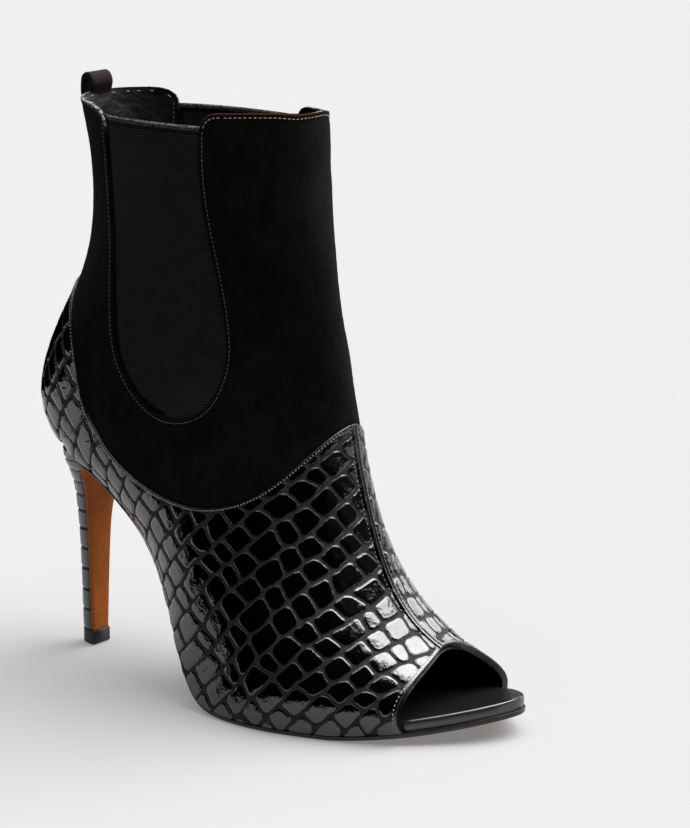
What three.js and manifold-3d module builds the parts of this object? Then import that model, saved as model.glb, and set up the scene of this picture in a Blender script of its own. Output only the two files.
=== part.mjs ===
// Women's right peep toe ankle boot on a stiletto heel: an embossed patent upper, a suede shaft
// with two elastic gores, a pull loop, and a leather sole that runs down the breast of the heel.
// Millimetres, +X towards the toe, +Y towards the inner (medial) side of the foot, +Z up.
// The sections are worked out with the heel's tip at x = 0, y = 0, and the whole boot is then
// placed so that its origin is on the floor under the middle of its box.

import * as THREE from 'three';
import { mergeVertices } from 'three/addons/utils/BufferGeometryUtils.js';
import Module from 'manifold-3d';

const wasm = await Module();
wasm.setup();

// Driving dimensions
const SOLE_LENGTH = 211.5;      // back of the seat to the tip of the toe, along X
const BALL_WIDTH = 81;        // feather line across the ball
const SEAT_HEIGHT = 87;       // floor to the feather line at the back of the seat
const COLLAR_HEIGHT = 236.5;  // floor to the collar, where the leg ends
const SHAFT_WIDTH = 69;       // across the shaft at the collar
const TOE_SPRING = 9.2;       // rise of the sole from the tread to the tip
const SEAT_OVERHANG = 8.5;    // back of the seat behind the middle of the heel tip
const TOE_ROUND = 34;         // length over which the outline closes at the toe
const SEAT_ROUND = 21;        // and at the seat
const UPPER_WALL = 2.2;       // embossed leather with its lining
const SUEDE_STEP = 0.6;       // the suede lies this far under the face of the embossed leather
const GORE_STEP = 0.8;        // the elastic lies this far under the face of the suede
const GORE_WALL = 1.2;
const SEAM_RIDGE = 0.7;       // height of the raised seam down the middle of the vamp
const SEAM_RIDGE_WIDTH = 2.6;
const INSOLE_THICK = 4.6;
const INSOLE_ROUND = 1.6;     // radius of the insole's top edge
const INSOLE_TOE_MARGIN = 0.9; // insole inside the outline where the toe is open
const OUTSOLE_THICK = 2;
const OUTSOLE_MARGIN = 0.4;   // outsole inside the outline
const OUTSOLE_BEVEL = 0.5;
const BACK_DROP = 4;          // top of the back panel below the collar
const FRONT_DROP = 2.9;       // top of the front panel below the collar
const GORE_DROP = 6.7;        // top of the lateral gore below the collar
const MEDIAL_SAG = 3;         // gore and front corner of the medial side lie this much lower
const MEDIAL_BACK = 10.5;     // the medial gore reaches this much further back at the collar
const FRONT_CORNER = 8;       // radius of the front panel's top corners
const BACK_CORNER = 8;        // and of the back panel's
const LIFT_HEIGHT = 6;        // top lift, from the floor
const LIFT_DEPTH = 9;
const LIFT_WIDTH = 10;
const HEEL_TIP_DEPTH = 8.6;   // covered heel where it meets the top lift
const HEEL_TIP_WIDTH = 9.4;
const HEEL_SEAT_MARGIN = 1.3; // top of the heel inside the feather line
const BREAST_REACH = 24;      // back of the seat to the front edge of the heel's seat
const BREAST_THICK = 1;       // sole leather on the front of the heel
const LOOP_WIDTH = 12;
const LOOP_THICK = 1.3;
const LOOP_RISE = 4;          // top of the loop above the collar
const LOOP_DEPTH = 7;         // the ring it makes, front to back
const LOOP_TAIL = 17;         // length of the loop's ends below the back panel's top
const LOOP_BOW = 1;           // the panel curves this far forwards over half the loop's width
const GAP = 0.3;              // clearance between neighbouring pieces

// Places that follow from them
const X_SEAT = -SEAT_OVERHANG;
const X_TIP = X_SEAT + SOLE_LENGTH;
const FEATHER_BASE = OUTSOLE_THICK + GAP;
const BACK_TOP = COLLAR_HEIGHT - BACK_DROP;
const FRONT_TOP = COLLAR_HEIGHT - FRONT_DROP;
const FAR = 400;              // beyond any part of the boot

// Outline of the sole at the feather line.
// along: share of SOLE_LENGTH from the seat; centre, half: shares of BALL_WIDTH, before the ends close
const OUTLINE = table(['along', 'centre', 'half'], [
  [0.000, 0.000, 0.259],
  [0.088, 0.000, 0.263],
  [0.158, -0.006, 0.238],
  [0.229, -0.019, 0.214],
  [0.324, -0.056, 0.265],
  [0.418, -0.068, 0.395],
  [0.513, -0.049, 0.475],
  [0.608, -0.025, 0.500],
  [0.702, 0.019, 0.481],
  [0.797, 0.074, 0.432],
  [0.891, 0.136, 0.346],
  [1.000, 0.210, 0.247],
]);

// Height of the feather line above the flat tread.
// along: share of SOLE_LENGTH; arch: share of the rise to the seat; toe: share of TOE_SPRING
const PROFILE = table(['along', 'arch', 'toe'], [
  [0.000, 1.000, 0.00],
  [0.040, 0.991, 0.00],
  [0.088, 0.966, 0.00],
  [0.135, 0.906, 0.00],
  [0.175, 0.820, 0.00],
  [0.215, 0.730, 0.00],
  [0.248, 0.649, 0.00],
  [0.300, 0.508, 0.00],
  [0.333, 0.408, 0.00],
  [0.362, 0.310, 0.00],
  [0.400, 0.183, 0.00],
  [0.437, 0.078, 0.00],
  [0.475, 0.021, 0.00],
  [0.513, 0.003, 0.00],
  [0.560, -0.001, 0.00],
  [0.644, 0.000, -0.01],
  [0.740, 0.000, 0.00],
  [0.797, 0.000, 0.12],
  [0.891, 0.000, 0.44],
  [1.000, 0.000, 1.00],
]);

// Sections of the last and leg, from the toe round the heel and up the leg. Each is a loop in a
// plane that leans from its foot, on the sole or on the back line, to its top, on the front line.
// foot, topX: shares of SOLE_LENGTH from the seat; rise: foot's height between seat and collar,
// or null where the foot is on the sole; topZ: share of COLLAR_HEIGHT; leg: 0 takes the widths as
// shares of BALL_WIDTH, 1 of SHAFT_WIDTH; belly: height of the widest line; roof, base: roundness
// above and below it; centre: share of BALL_WIDTH
const SECTIONS = table(
  ['foot', 'rise', 'topX', 'topZ', 'leg', 'lateral', 'medial', 'belly', 'roof', 'base', 'centre'], [
    [0.948, null, 0.948, 0.093, 0.0, 0.309, 0.222, 0.30, 2.00, 2.0, 0.167],
    [0.882, null, 0.896, 0.114, 0.0, 0.383, 0.309, 0.28, 2.00, 2.0, 0.130],
    [0.811, null, 0.846, 0.137, 0.0, 0.438, 0.401, 0.26, 2.00, 2.0, 0.093],
    [0.731, null, 0.799, 0.171, 0.0, 0.481, 0.457, 0.25, 1.95, 2.0, 0.062],
    [0.641, null, 0.756, 0.220, 0.0, 0.512, 0.475, 0.25, 1.85, 2.0, 0.043],
    [0.551, null, 0.723, 0.283, 0.0, 0.531, 0.457, 0.26, 1.80, 2.0, 0.031],
    [0.466, null, 0.700, 0.351, 0.0, 0.518, 0.414, 0.30, 1.80, 2.0, 0.022],
    [0.390, null, 0.683, 0.414, 0.0, 0.481, 0.383, 0.34, 1.85, 2.0, 0.015],
    [0.319, null, 0.673, 0.469, 0.2, 0.458, 0.375, 0.36, 1.90, 2.1, 0.010],
    [0.248, null, 0.663, 0.520, 0.4, 0.433, 0.381, 0.38, 1.95, 2.2, 0.005],
    [0.177, null, 0.653, 0.567, 0.6, 0.420, 0.393, 0.40, 2.00, 2.4, 0.002],
    [0.121, null, 0.644, 0.609, 0.8, 0.420, 0.413, 0.42, 2.05, 2.7, 0.000],
    [0.059, null, 0.635, 0.647, 1.0, 0.406, 0.410, 0.44, 2.10, 3.0, 0.000],
    [0.000, null, 0.627, 0.685, 1.0, 0.399, 0.406, 0.46, 2.10, 3.1, 0.000],
    [-0.044, 0.094, 0.619, 0.723, 1.0, 0.406, 0.410, 0.48, 2.15, 3.1, 0.000],
    [-0.045, 0.201, 0.611, 0.761, 1.0, 0.420, 0.423, 0.49, 2.20, 2.8, 0.000],
    [-0.014, 0.321, 0.603, 0.795, 1.0, 0.442, 0.442, 0.50, 2.20, 2.5, 0.000],
    [0.033, 0.442, 0.596, 0.829, 1.0, 0.461, 0.461, 0.50, 2.20, 2.3, 0.000],
    [0.066, 0.562, 0.590, 0.863, 1.0, 0.472, 0.472, 0.50, 2.20, 2.2, 0.000],
    [0.081, 0.676, 0.585, 0.896, 1.0, 0.483, 0.483, 0.50, 2.20, 2.2, 0.000],
    [0.081, 0.789, 0.582, 0.930, 1.0, 0.493, 0.493, 0.50, 2.20, 2.2, 0.000],
    [0.066, 0.903, 0.579, 0.970, 1.0, 0.499, 0.499, 0.50, 2.20, 2.2, 0.000],
    [0.044, 1.010, 0.578, 1.011, 1.0, 0.501, 0.501, 0.50, 2.20, 2.2, 0.000],
  ]);
const BELLY_SPLIT = 0.62;     // share of each half loop that lies above the widest line

// Top edge of the embossed leather, seen from the side: over the counter, down and forwards under
// the ankle, and up to the point of the vamp. x: share of SOLE_LENGTH; z: share of COLLAR_HEIGHT
const UPPER_EDGE = table(['x', 'z'], [
  [-0.102, 0.681],
  [0.002, 0.681],
  [0.050, 0.674],
  [0.071, 0.655],
  [0.089, 0.617],
  [0.102, 0.562],
  [0.112, 0.512],
  [0.125, 0.463],
  [0.160, 0.418],
  [0.215, 0.378],
  [0.291, 0.349],
  [0.381, 0.337],
  [0.456, 0.341],
  [0.532, 0.362],
  [0.598, 0.404],
  [0.650, 0.462],
  [0.688, 0.512],
  [0.749, 0.592],
]);

// Edge of the gore's window, seen from the side, down its back, round its foot and up its front.
// x: share of SOLE_LENGTH; z: share of COLLAR_HEIGHT; back: share of MEDIAL_BACK
const GORE_EDGE = table(['x', 'z', 'back'], [
  [0.201, 0.970, 1.00],
  [0.204, 0.867, 0.91],
  [0.211, 0.761, 0.68],
  [0.212, 0.668, 0.38],
  [0.209, 0.592, 0.10],
  [0.229, 0.533, 0.00],
  [0.274, 0.490, 0.00],
  [0.340, 0.474, 0.00],
  [0.407, 0.488, 0.00],
  [0.449, 0.528, 0.00],
  [0.463, 0.596, 0.00],
  [0.455, 0.681, 0.00],
  [0.444, 0.774, 0.00],
  [0.432, 0.858, 0.00],
  [0.429, 0.939, 0.00],
]);

// Edge of the peep opening, seen from above. y: share of BALL_WIDTH; x: share of SOLE_LENGTH
const PEEP_EDGE = table(['x', 'y'], [
  [0.858, -0.650],
  [0.858, -0.370],
  [0.861, -0.272],
  [0.865, -0.173],
  [0.861, -0.025],
  [0.851, 0.099],
  [0.848, 0.222],
  [0.858, 0.321],
  [0.879, 0.395],
  [0.905, 0.457],
  [0.939, 0.543],
  [0.974, 0.650],
]);

// The covered heel, from the top lift to the seat. up: share of the height to the back of the
// seat; back, front, width: 0 at the tip, 1 at the seat; square: roundness of the back
const HEEL = table(['up', 'back', 'front', 'width', 'square'], [
  [0.00, 0.00, 0.00, 0.00, 2.2],
  [0.15, 0.10, 0.00, 0.03, 2.2],
  [0.32, 0.20, 0.00, 0.07, 2.2],
  [0.48, 0.42, 0.01, 0.11, 2.2],
  [0.60, 0.60, 0.02, 0.17, 2.2],
  [0.70, 0.74, 0.07, 0.26, 2.2],
  [0.80, 0.86, 0.16, 0.43, 2.3],
  [0.88, 0.94, 0.33, 0.68, 2.5],
  [0.95, 1.00, 0.65, 0.92, 2.8],
  [1.05, 1.05, 1.05, 1.02, 3.0],
]);

// Middle line of the pull loop, from its outer tail over the top to its inner tail.
// reach: share of LOOP_DEPTH forwards of the back panel's edge; up: 0 at the back panel's top,
// 1 at the top of the loop
const LOOP = table(['reach', 'up'], [
  [-0.37, -0.18],
  [-0.39, 0.50],
  [-0.29, 0.86],
  [-0.01, 1.00],
  [0.26, 0.87],
  [0.42, 0.50],
  [0.50, 0.10],
]);

// A table by columns
function table(names, rows) {
  const columns = { length: rows.length };
  names.forEach((name, i) => {
    columns[name] = rows.map((row) => row[i]);
  });
  return columns;
}

// Natural cubic spline through (xs, ys), as a function
function spline(xs, ys) {
  const n = xs.length;
  const bend = new Array(n).fill(0);
  const carry = new Array(n).fill(0);
  for (let i = 1; i < n - 1; i += 1) {
    const before = xs[i] - xs[i - 1];
    const after = xs[i + 1] - xs[i];
    const pull = 6 * ((ys[i + 1] - ys[i]) / after - (ys[i] - ys[i - 1]) / before);
    const pivot = 2 * (before + after) - before * carry[i - 1];
    carry[i] = after / pivot;
    bend[i] = (pull - before * bend[i - 1]) / pivot;
  }
  for (let i = n - 2; i > 0; i -= 1) bend[i] -= carry[i] * bend[i + 1];
  return (x) => {
    let i = 0;
    while (i < n - 2 && x > xs[i + 1]) i += 1;
    const step = xs[i + 1] - xs[i];
    const a = (xs[i + 1] - x) / step;
    const b = (x - xs[i]) / step;
    const curl = ((a ** 3 - a) * bend[i] + (b ** 3 - b) * bend[i + 1]) * step * step / 6;
    return a * ys[i] + b * ys[i + 1] + curl;
  };
}

const mix = (a, b, share) => a + (b - a) * share;
const alongSole = (share) => X_SEAT + share * SOLE_LENGTH;
const byRow = (values) => spline(values.map((_, i) => i), values);

const outlineCentre = spline(OUTLINE.along, OUTLINE.centre);
const outlineHalf = spline(OUTLINE.along, OUTLINE.half);
const archShare = spline(PROFILE.along, PROFILE.arch);
const toeShare = spline(PROFILE.along, PROFILE.toe);

// How far the outline has opened from 0 at either end to 1
function openFrom(distance, round) {
  const share = THREE.MathUtils.clamp(distance / round, 0, 1);
  return Math.sqrt(1 - (1 - share) ** 2);
}

// Half width of the outline at x, moved in by margin all round
function outlineHalfAt(x, margin) {
  const half = outlineHalf((x - X_SEAT) / SOLE_LENGTH) * BALL_WIDTH - margin;
  const ends = openFrom(X_TIP - margin - x, TOE_ROUND) * openFrom(x - X_SEAT - margin, SEAT_ROUND);
  return half * ends;
}

const outlineCentreAt = (x) => outlineCentre((x - X_SEAT) / SOLE_LENGTH) * BALL_WIDTH;

// Height of the feather line, where the upper and the insole meet the sole
function featherAt(x) {
  const share = (x - X_SEAT) / SOLE_LENGTH;
  const arch = Math.max(0, archShare(share)) * (SEAT_HEIGHT - FEATHER_BASE);
  const toe = Math.max(0, toeShare(share)) * TOE_SPRING;
  return FEATHER_BASE + arch + toe;
}

const SEAT_ROW = SECTIONS.rise.lastIndexOf(null);
const LAST_ROW = SECTIONS.length - 1;

const footX = byRow(SECTIONS.foot.map(alongSole));
const footZ = byRow(SECTIONS.rise.map((rise, i) => (
  rise === null ? featherAt(alongSole(SECTIONS.foot[i])) : mix(SEAT_HEIGHT, COLLAR_HEIGHT, rise))));
const topX = byRow(SECTIONS.topX.map(alongSole));
const topZ = byRow(SECTIONS.topZ.map((share) => share * COLLAR_HEIGHT));
const legWidth = SECTIONS.leg.map((leg) => mix(BALL_WIDTH, SHAFT_WIDTH, leg));
const lateralWidth = byRow(SECTIONS.lateral.map((share, i) => share * legWidth[i]));
const medialWidth = byRow(SECTIONS.medial.map((share, i) => share * legWidth[i]));
const belly = byRow(SECTIONS.belly);
const roof = byRow(SECTIONS.roof);
const base = byRow(SECTIONS.base);
const sectionCentre = byRow(SECTIONS.centre.map((share) => share * BALL_WIDTH));

// A point of the boot's surface, moved inwards by inset. row runs from the toe to the collar;
// turn from -1 at the lateral foot of the section, over 0 at its top, to 1 at its medial foot.
function surfacePoint(row, turn, inset) {
  const onSole = row <= SEAT_ROW;
  const lastStretch = THREE.MathUtils.clamp(row - SEAT_ROW + 1, 0, 1);
  let foot = new THREE.Vector2(footX(row), onSole ? featherAt(footX(row)) : footZ(row));
  const top = new THREE.Vector2(topX(row), topZ(row));
  const lean = top.clone().sub(foot).normalize();
  top.addScaledVector(lean, -inset);
  if (onSole) {
    foot.x += inset * lastStretch;
    foot.y = featherAt(foot.x);
  } else {
    foot.addScaledVector(lean, inset);
  }
  const side = Math.sign(turn);
  const centre = sectionCentre(row);
  const width = (side < 0 ? lateralWidth(row) : medialWidth(row)) - inset;
  let edge = 0;
  if (onSole) {
    edge = Math.abs(outlineCentreAt(foot.x) + side * outlineHalfAt(foot.x, inset) - centre);
    if (outlineHalfAt(foot.x, inset) === 0) edge = 0;
  }
  const widest = Math.max(width, edge);
  const share = Math.abs(turn);
  let out;
  let up;
  if (share > BELLY_SPLIT) {
    const angle = (share - BELLY_SPLIT) / (1 - BELLY_SPLIT) * Math.PI / 2;
    const power = base(row);
    const tuck = (1 - (edge / widest) ** power) * Math.sin(angle) ** power;
    out = widest * (1 - tuck) ** (1 / power);
    up = belly(row) * (1 - Math.sin(angle));
  } else {
    const angle = share / BELLY_SPLIT * Math.PI / 2;
    const power = 2 / roof(row);
    out = widest * Math.sin(angle) ** power;
    up = mix(belly(row), 1, Math.max(0, Math.cos(angle)) ** power);
  }
  return new THREE.Vector3(mix(foot.x, top.x, up), centre + side * out, mix(foot.y, top.y, up));
}

// Closed geometry from rings of points that all have the same count
function skin(rings) {
  const count = rings[0].length;
  const positions = rings.flat().flatMap((point) => point.toArray());
  const index = [];
  for (let r = 0; r < rings.length - 1; r += 1) {
    for (let i = 0; i < count; i += 1) {
      const a = r * count + i;
      const b = r * count + (i + 1) % count;
      index.push(a, b, b + count, a, b + count, a + count);
    }
  }
  [0, rings.length - 1].forEach((r) => {
    const loop = rings[r];
    const hub = positions.length / 3;
    const middle = loop.reduce((sum, point) => sum.add(point), new THREE.Vector3());
    positions.push(...middle.divideScalar(count).toArray());
    for (let i = 0; i < count; i += 1) {
      const a = r * count + i;
      const b = r * count + (i + 1) % count;
      if (r === 0) index.push(hub, b, a);
      else index.push(hub, a, b);
    }
  });
  const geometry = new THREE.BufferGeometry();
  geometry.setAttribute('position', new THREE.Float32BufferAttribute(positions, 3));
  geometry.setIndex(index);
  return geometry;
}

// The solid that a closed geometry bounds, with its faces turned outwards
function solid(geometry) {
  const plain = geometry.clone();
  plain.deleteAttribute('normal');
  plain.deleteAttribute('uv');
  const merged = mergeVertices(plain, 1e-4);
  const all = merged.index.array;
  const corner = (i) => new THREE.Vector3().fromBufferAttribute(merged.attributes.position, i);
  const kept = [];
  let volume = 0;
  for (let i = 0; i < all.length; i += 3) {
    const [a, b, c] = [all[i], all[i + 1], all[i + 2]];
    if (a !== b && b !== c && c !== a) {
      kept.push(a, b, c);
      volume += corner(a).dot(corner(b).cross(corner(c))) / 6;
    }
  }
  if (volume < 0) kept.reverse();
  return new wasm.Manifold(new wasm.Mesh({
    numProp: 3,
    vertProperties: new Float32Array(merged.attributes.position.array),
    triVerts: new Uint32Array(kept),
  }));
}

// An outline in the XZ plane made solid across the whole boot
function acrossBoot(points) {
  const shape = new THREE.Shape(points);
  const geometry = new THREE.ExtrudeGeometry(shape, { depth: FAR, bevelEnabled: false });
  geometry.rotateX(Math.PI / 2);
  geometry.translate(0, FAR / 2, 0);
  return solid(geometry);
}

// An outline in the XY plane made solid from below the floor to above the boot
function throughBoot(points) {
  const shape = new THREE.Shape(points);
  const geometry = new THREE.ExtrudeGeometry(shape, { depth: 2 * FAR, bevelEnabled: false });
  geometry.translate(0, 0, -FAR);
  return solid(geometry);
}

// Points along a smooth curve through a table's points, steps to each row
function smooth(xs, ys, steps) {
  const x = byRow(xs);
  const y = byRow(ys);
  const points = [];
  for (let i = 0; i <= (xs.length - 1) * steps; i += 1) {
    points.push(new THREE.Vector2(x(i / steps), y(i / steps)));
  }
  return points;
}

// A curve moved sideways, to the left of its direction
function moved(points, distance) {
  return points.map((point, i) => {
    const before = points[Math.max(0, i - 1)];
    const after = points[Math.min(points.length - 1, i + 1)];
    const along = after.clone().sub(before).normalize();
    return new THREE.Vector2(point.x - along.y * distance, point.y + along.x * distance);
  });
}

// Rows at which the surface is cut into facets, closer together where the seat rounds off
const ROW_STEP = 0.5;
const PLAIN_ROW = 17;         // from here up the leg is plain enough for whole steps
const SEAT_ROWS = [0.25, 0.5, 0.7, 0.85, 0.95].map((part) => SEAT_ROW - 1 + part);
const rows = [];
for (let row = 0; row < SEAT_ROW; row += ROW_STEP) {
  if (row <= SEAT_ROW - 1) rows.push(row);
}
rows.push(...SEAT_ROWS);
for (let row = SEAT_ROW; row <= LAST_ROW; row += row < PLAIN_ROW ? ROW_STEP : 1) rows.push(row);

// Places round each half of a section
const HALF_TURN = [0.06, 0.13, 0.21, 0.30, 0.40, 0.51, 0.62, 0.72, 0.82, 0.91, 0.965, 1];
const turns = [...HALF_TURN.map((turn) => -turn).reverse(), 0, ...HALF_TURN];

// The boot filled solid, moved in by inset; skirt lowers its underside below the feather line
function bootForm(inset, skirt) {
  return solid(skin(rows.map((row) => {
    const ring = turns.map((turn) => surfacePoint(row, turn, inset));
    const drop = row < SEAT_ROW ? skirt : 0;
    const feet = [ring[ring.length - 1], ring[0]].map((foot) => foot.clone());
    feet.forEach((foot) => { foot.z -= drop; });
    return [...ring, ...feet];
  })));
}

// A wall of the boot, open underneath
const bootWall = (outer, inner) => bootForm(outer, 0).subtract(bootForm(inner, 2 * INSOLE_THICK));

// The upper: vamp, quarters and counter in one, up to the edge where the suede begins
const edgeX = UPPER_EDGE.x.map(alongSole);
const edgeZ = UPPER_EDGE.z.map((share) => share * COLLAR_HEIGHT);
const upperEdge = smooth(edgeX, edgeZ, 3);
const belowEdge = (edge) => acrossBoot([
  new THREE.Vector2(-FAR, edge[0].y),
  ...edge,
  new THREE.Vector2(FAR, edge[edge.length - 1].y),
  new THREE.Vector2(FAR, -FAR),
  new THREE.Vector2(-FAR, -FAR),
]);

const peepEdge = smooth(PEEP_EDGE.x.map(alongSole), PEEP_EDGE.y.map((y) => y * BALL_WIDTH), 2);
const beyondPeep = (forward) => throughBoot([
  ...peepEdge.map((point) => new THREE.Vector2(point.x + forward, point.y)),
  new THREE.Vector2(FAR, FAR),
  new THREE.Vector2(FAR, -FAR),
].reverse());

// The raised seam along the top of the vamp
function seamRidge() {
  const ridgeRows = rows.filter((row) => row <= SEAT_ROW - 3);
  return solid(skin(ridgeRows.map((row) => {
    const crown = surfacePoint(row, 0, -SEAM_RIDGE);
    const root = surfacePoint(row, 0, UPPER_WALL / 2);
    const half = SEAM_RIDGE_WIDTH / 2;
    const shoulder = crown.clone().lerp(root, 0.2);
    return [
      crown.clone().setY(crown.y - half / 2),
      crown.clone().setY(crown.y + half / 2),
      shoulder.clone().setY(crown.y + half),
      root.clone().setY(crown.y + half),
      root.clone().setY(crown.y - half),
      shoulder.clone().setY(crown.y - half),
    ];
  })));
}

const upperWall = bootWall(0, UPPER_WALL)
  .add(seamRidge())
  .intersect(belowEdge(upperEdge))
  .subtract(beyondPeep(0));

// The suede shaft: what lies above that edge, with its collar trimmed and its windows cut.
// side is -1 for the lateral half, 1 for the medial one
const sag = (side) => (side < 0 ? 0 : MEDIAL_SAG);
const goreTop = (side) => COLLAR_HEIGHT - GORE_DROP - sag(side);
const goreZ = GORE_EDGE.z.map((share) => share * COLLAR_HEIGHT);
const goreEdge = (side) => smooth(
  GORE_EDGE.x.map((share, i) => alongSole(share) - (side < 0 ? 0 : GORE_EDGE.back[i] * MEDIAL_BACK)),
  goreZ,
  2,
);
const half = (side) => throughBoot([
  new THREE.Vector2(-FAR, 0),
  new THREE.Vector2(-FAR, side * FAR),
  new THREE.Vector2(FAR, side * FAR),
  new THREE.Vector2(FAR, 0),
]);

function collarCut(side) {
  const edge = goreEdge(side);
  const back = edge[0];
  const front = edge[edge.length - 1];
  const cornerTop = FRONT_TOP - sag(side);
  const backCorner = new THREE.QuadraticBezierCurve(
    new THREE.Vector2(back.x - BACK_CORNER, BACK_TOP),
    new THREE.Vector2(back.x, BACK_TOP),
    new THREE.Vector2(back.x, BACK_TOP - 0.7 * BACK_CORNER),
  );
  const frontCorner = new THREE.QuadraticBezierCurve(
    new THREE.Vector2(front.x, cornerTop - FRONT_CORNER),
    new THREE.Vector2(front.x, cornerTop),
    new THREE.Vector2(front.x + FRONT_CORNER, cornerTop),
  );
  const middle = (back.x + front.x) / 2;
  const window = edge.filter((point) => (
    point.y < (point.x < middle ? backCorner.v2.y : frontCorner.v0.y)));
  return acrossBoot([
    new THREE.Vector2(-FAR, BACK_TOP),
    ...backCorner.getPoints(5),
    ...window,
    ...frontCorner.getPoints(6),
    new THREE.Vector2(topX(LAST_ROW), FRONT_TOP),
    new THREE.Vector2(FAR, FRONT_TOP),
    new THREE.Vector2(FAR, FAR),
    new THREE.Vector2(-FAR, FAR),
  ]).intersect(half(side));
}

const shaftSolid = bootWall(SUEDE_STEP, UPPER_WALL)
  .subtract(belowEdge(moved(upperEdge, GAP)))
  .subtract(collarCut(-1))
  .subtract(collarCut(1));

// An elastic gore fills each window
function gore(side) {
  const face = SUEDE_STEP + GORE_STEP;
  const edge = moved(goreEdge(side), GAP);
  const window = acrossBoot([
    new THREE.Vector2(edge[0].x, goreTop(side)),
    ...edge.filter((point) => point.y < goreTop(side)),
    new THREE.Vector2(edge[edge.length - 1].x, goreTop(side)),
  ]);
  return bootWall(face, face + GORE_WALL).intersect(window).intersect(half(side));
}

// Places along the sole at which every piece of the bottom is cut into facets
const TOE_STATIONS = [0.968, 0.982, 0.991, 0.997];
const soleStations = rows.filter((row) => row <= SEAT_ROW).map(footX).reverse()
  .concat(TOE_STATIONS.map(alongSole));

// A layer of the bottom: each station is a ring across the sole, between two heights over the
// feather line; round is the radius of its top edges, bevel that of its lower ones
function soleLayer(margin, low, high, round, bevel) {
  const inside = soleStations.filter((x) => x > X_SEAT + margin && x < X_TIP - margin);
  const ends = [X_SEAT + margin + 0.02, X_TIP - margin - 0.02];
  const xs = [ends[0], ...inside, ends[1]];
  return solid(skin(xs.map((x) => {
    const half = outlineHalfAt(x, margin);
    const centre = outlineCentreAt(x);
    const base = featherAt(x);
    const top = Math.min(round, half);
    const under = Math.min(bevel, half);
    const at = (out, up) => new THREE.Vector3(x, centre + out, base + up);
    return [
      at(-half + under, low),
      at(-half, low + bevel),
      at(-half, high - round),
      at(-half + 0.3 * top, high - 0.3 * round),
      at(-half + top, high),
      at(0, high),
      at(half - top, high),
      at(half - 0.3 * top, high - 0.3 * round),
      at(half, high - round),
      at(half, low + bevel),
      at(half - under, low),
    ];
  })));
}

// The insole lies inside the upper and steps out to the edge where the toe is open
const insoleSolid = soleLayer(UPPER_WALL + GAP, 0, INSOLE_THICK, INSOLE_ROUND, 0)
  .add(soleLayer(INSOLE_TOE_MARGIN, 0, INSOLE_THICK, INSOLE_ROUND, 0).intersect(beyondPeep(GAP)));

// Room for the insole inside the wall of the upper
const upperSolid = upperWall.subtract(soleLayer(UPPER_WALL, -GAP, INSOLE_THICK + GAP, 0, 0));

// Front and back of the heel, and its half width, at a height
const heelHeight = SEAT_HEIGHT - LIFT_HEIGHT - GAP;
const heelUp = HEEL.up.map((share) => LIFT_HEIGHT + GAP + share * heelHeight);
const tipFront = HEEL_TIP_DEPTH * 0.3;
const heelSeatWidth = outlineHalfAt(X_SEAT + SEAT_ROUND, HEEL_SEAT_MARGIN);
const heelBack = spline(heelUp, HEEL.back.map(
  (share) => mix(tipFront - HEEL_TIP_DEPTH, X_SEAT + HEEL_SEAT_MARGIN / 2, share)));
const heelFront = spline(heelUp, HEEL.front.map((share) => mix(tipFront, X_SEAT + BREAST_REACH, share)));
const heelWidth = spline(heelUp, HEEL.width.map(
  (share) => mix(HEEL_TIP_WIDTH / 2, heelSeatWidth, share)));
const heelSquare = spline(heelUp, HEEL.square);

const HEEL_STEPS = 22;
const heelLevels = [];
for (let i = 0; i <= HEEL_STEPS; i += 1) {
  heelLevels.push(mix(heelUp[0], heelUp[heelUp.length - 1], i / HEEL_STEPS));
}

// A heel section: flat in front, rounded behind
function heelRing(z, setBack) {
  const front = heelFront(z) - setBack;
  const depth = front - heelBack(z);
  const power = 2 / heelSquare(z);
  const ring = [];
  for (let i = 0; i <= 14; i += 1) {
    const angle = Math.PI * i / 14;
    const across = Math.cos(angle);
    const y = Math.sign(across) * Math.abs(across) ** power * heelWidth(z);
    ring.push(new THREE.Vector3(front - Math.max(0, Math.sin(angle)) ** power * depth, y, z));
  }
  return ring;
}

// What lies above the top of the heel, which follows the feather line
const overHeel = acrossBoot([
  new THREE.Vector2(-FAR, featherAt(X_SEAT) - GAP),
  ...soleStations.filter((x) => x >= X_SEAT).map((x) => new THREE.Vector2(x, featherAt(x) - GAP)),
  new THREE.Vector2(FAR, featherAt(X_TIP)),
  new THREE.Vector2(FAR, FAR),
  new THREE.Vector2(-FAR, FAR),
]);

const heelSolid = solid(skin(heelLevels.map((z) => heelRing(z, BREAST_THICK + GAP))))
  .subtract(overHeel);

// Sole leather on the breast of the heel
const breastSolid = solid(skin(heelLevels.map((z) => {
  const front = heelFront(z);
  const half = heelWidth(z) - GAP;
  return [
    new THREE.Vector3(front - BREAST_THICK, -half, z),
    new THREE.Vector3(front - 0.3 * BREAST_THICK, -half, z),
    new THREE.Vector3(front, -0.94 * half, z),
    new THREE.Vector3(front, 0.94 * half, z),
    new THREE.Vector3(front - 0.3 * BREAST_THICK, half, z),
    new THREE.Vector3(front - BREAST_THICK, half, z),
  ];
}))).subtract(overHeel);

// The outsole runs from the tip up the arch and ends against the breast
const behindBreast = acrossBoot([
  ...heelLevels.map((z) => new THREE.Vector2(heelFront(z) + GAP, z)),
  new THREE.Vector2(-FAR, heelUp[heelUp.length - 1]),
  new THREE.Vector2(-FAR, heelUp[0]),
]);
const outsoleSolid = soleLayer(OUTSOLE_MARGIN, -FEATHER_BASE, -GAP, OUTSOLE_BEVEL, OUTSOLE_BEVEL)
  .subtract(behindBreast);

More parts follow.
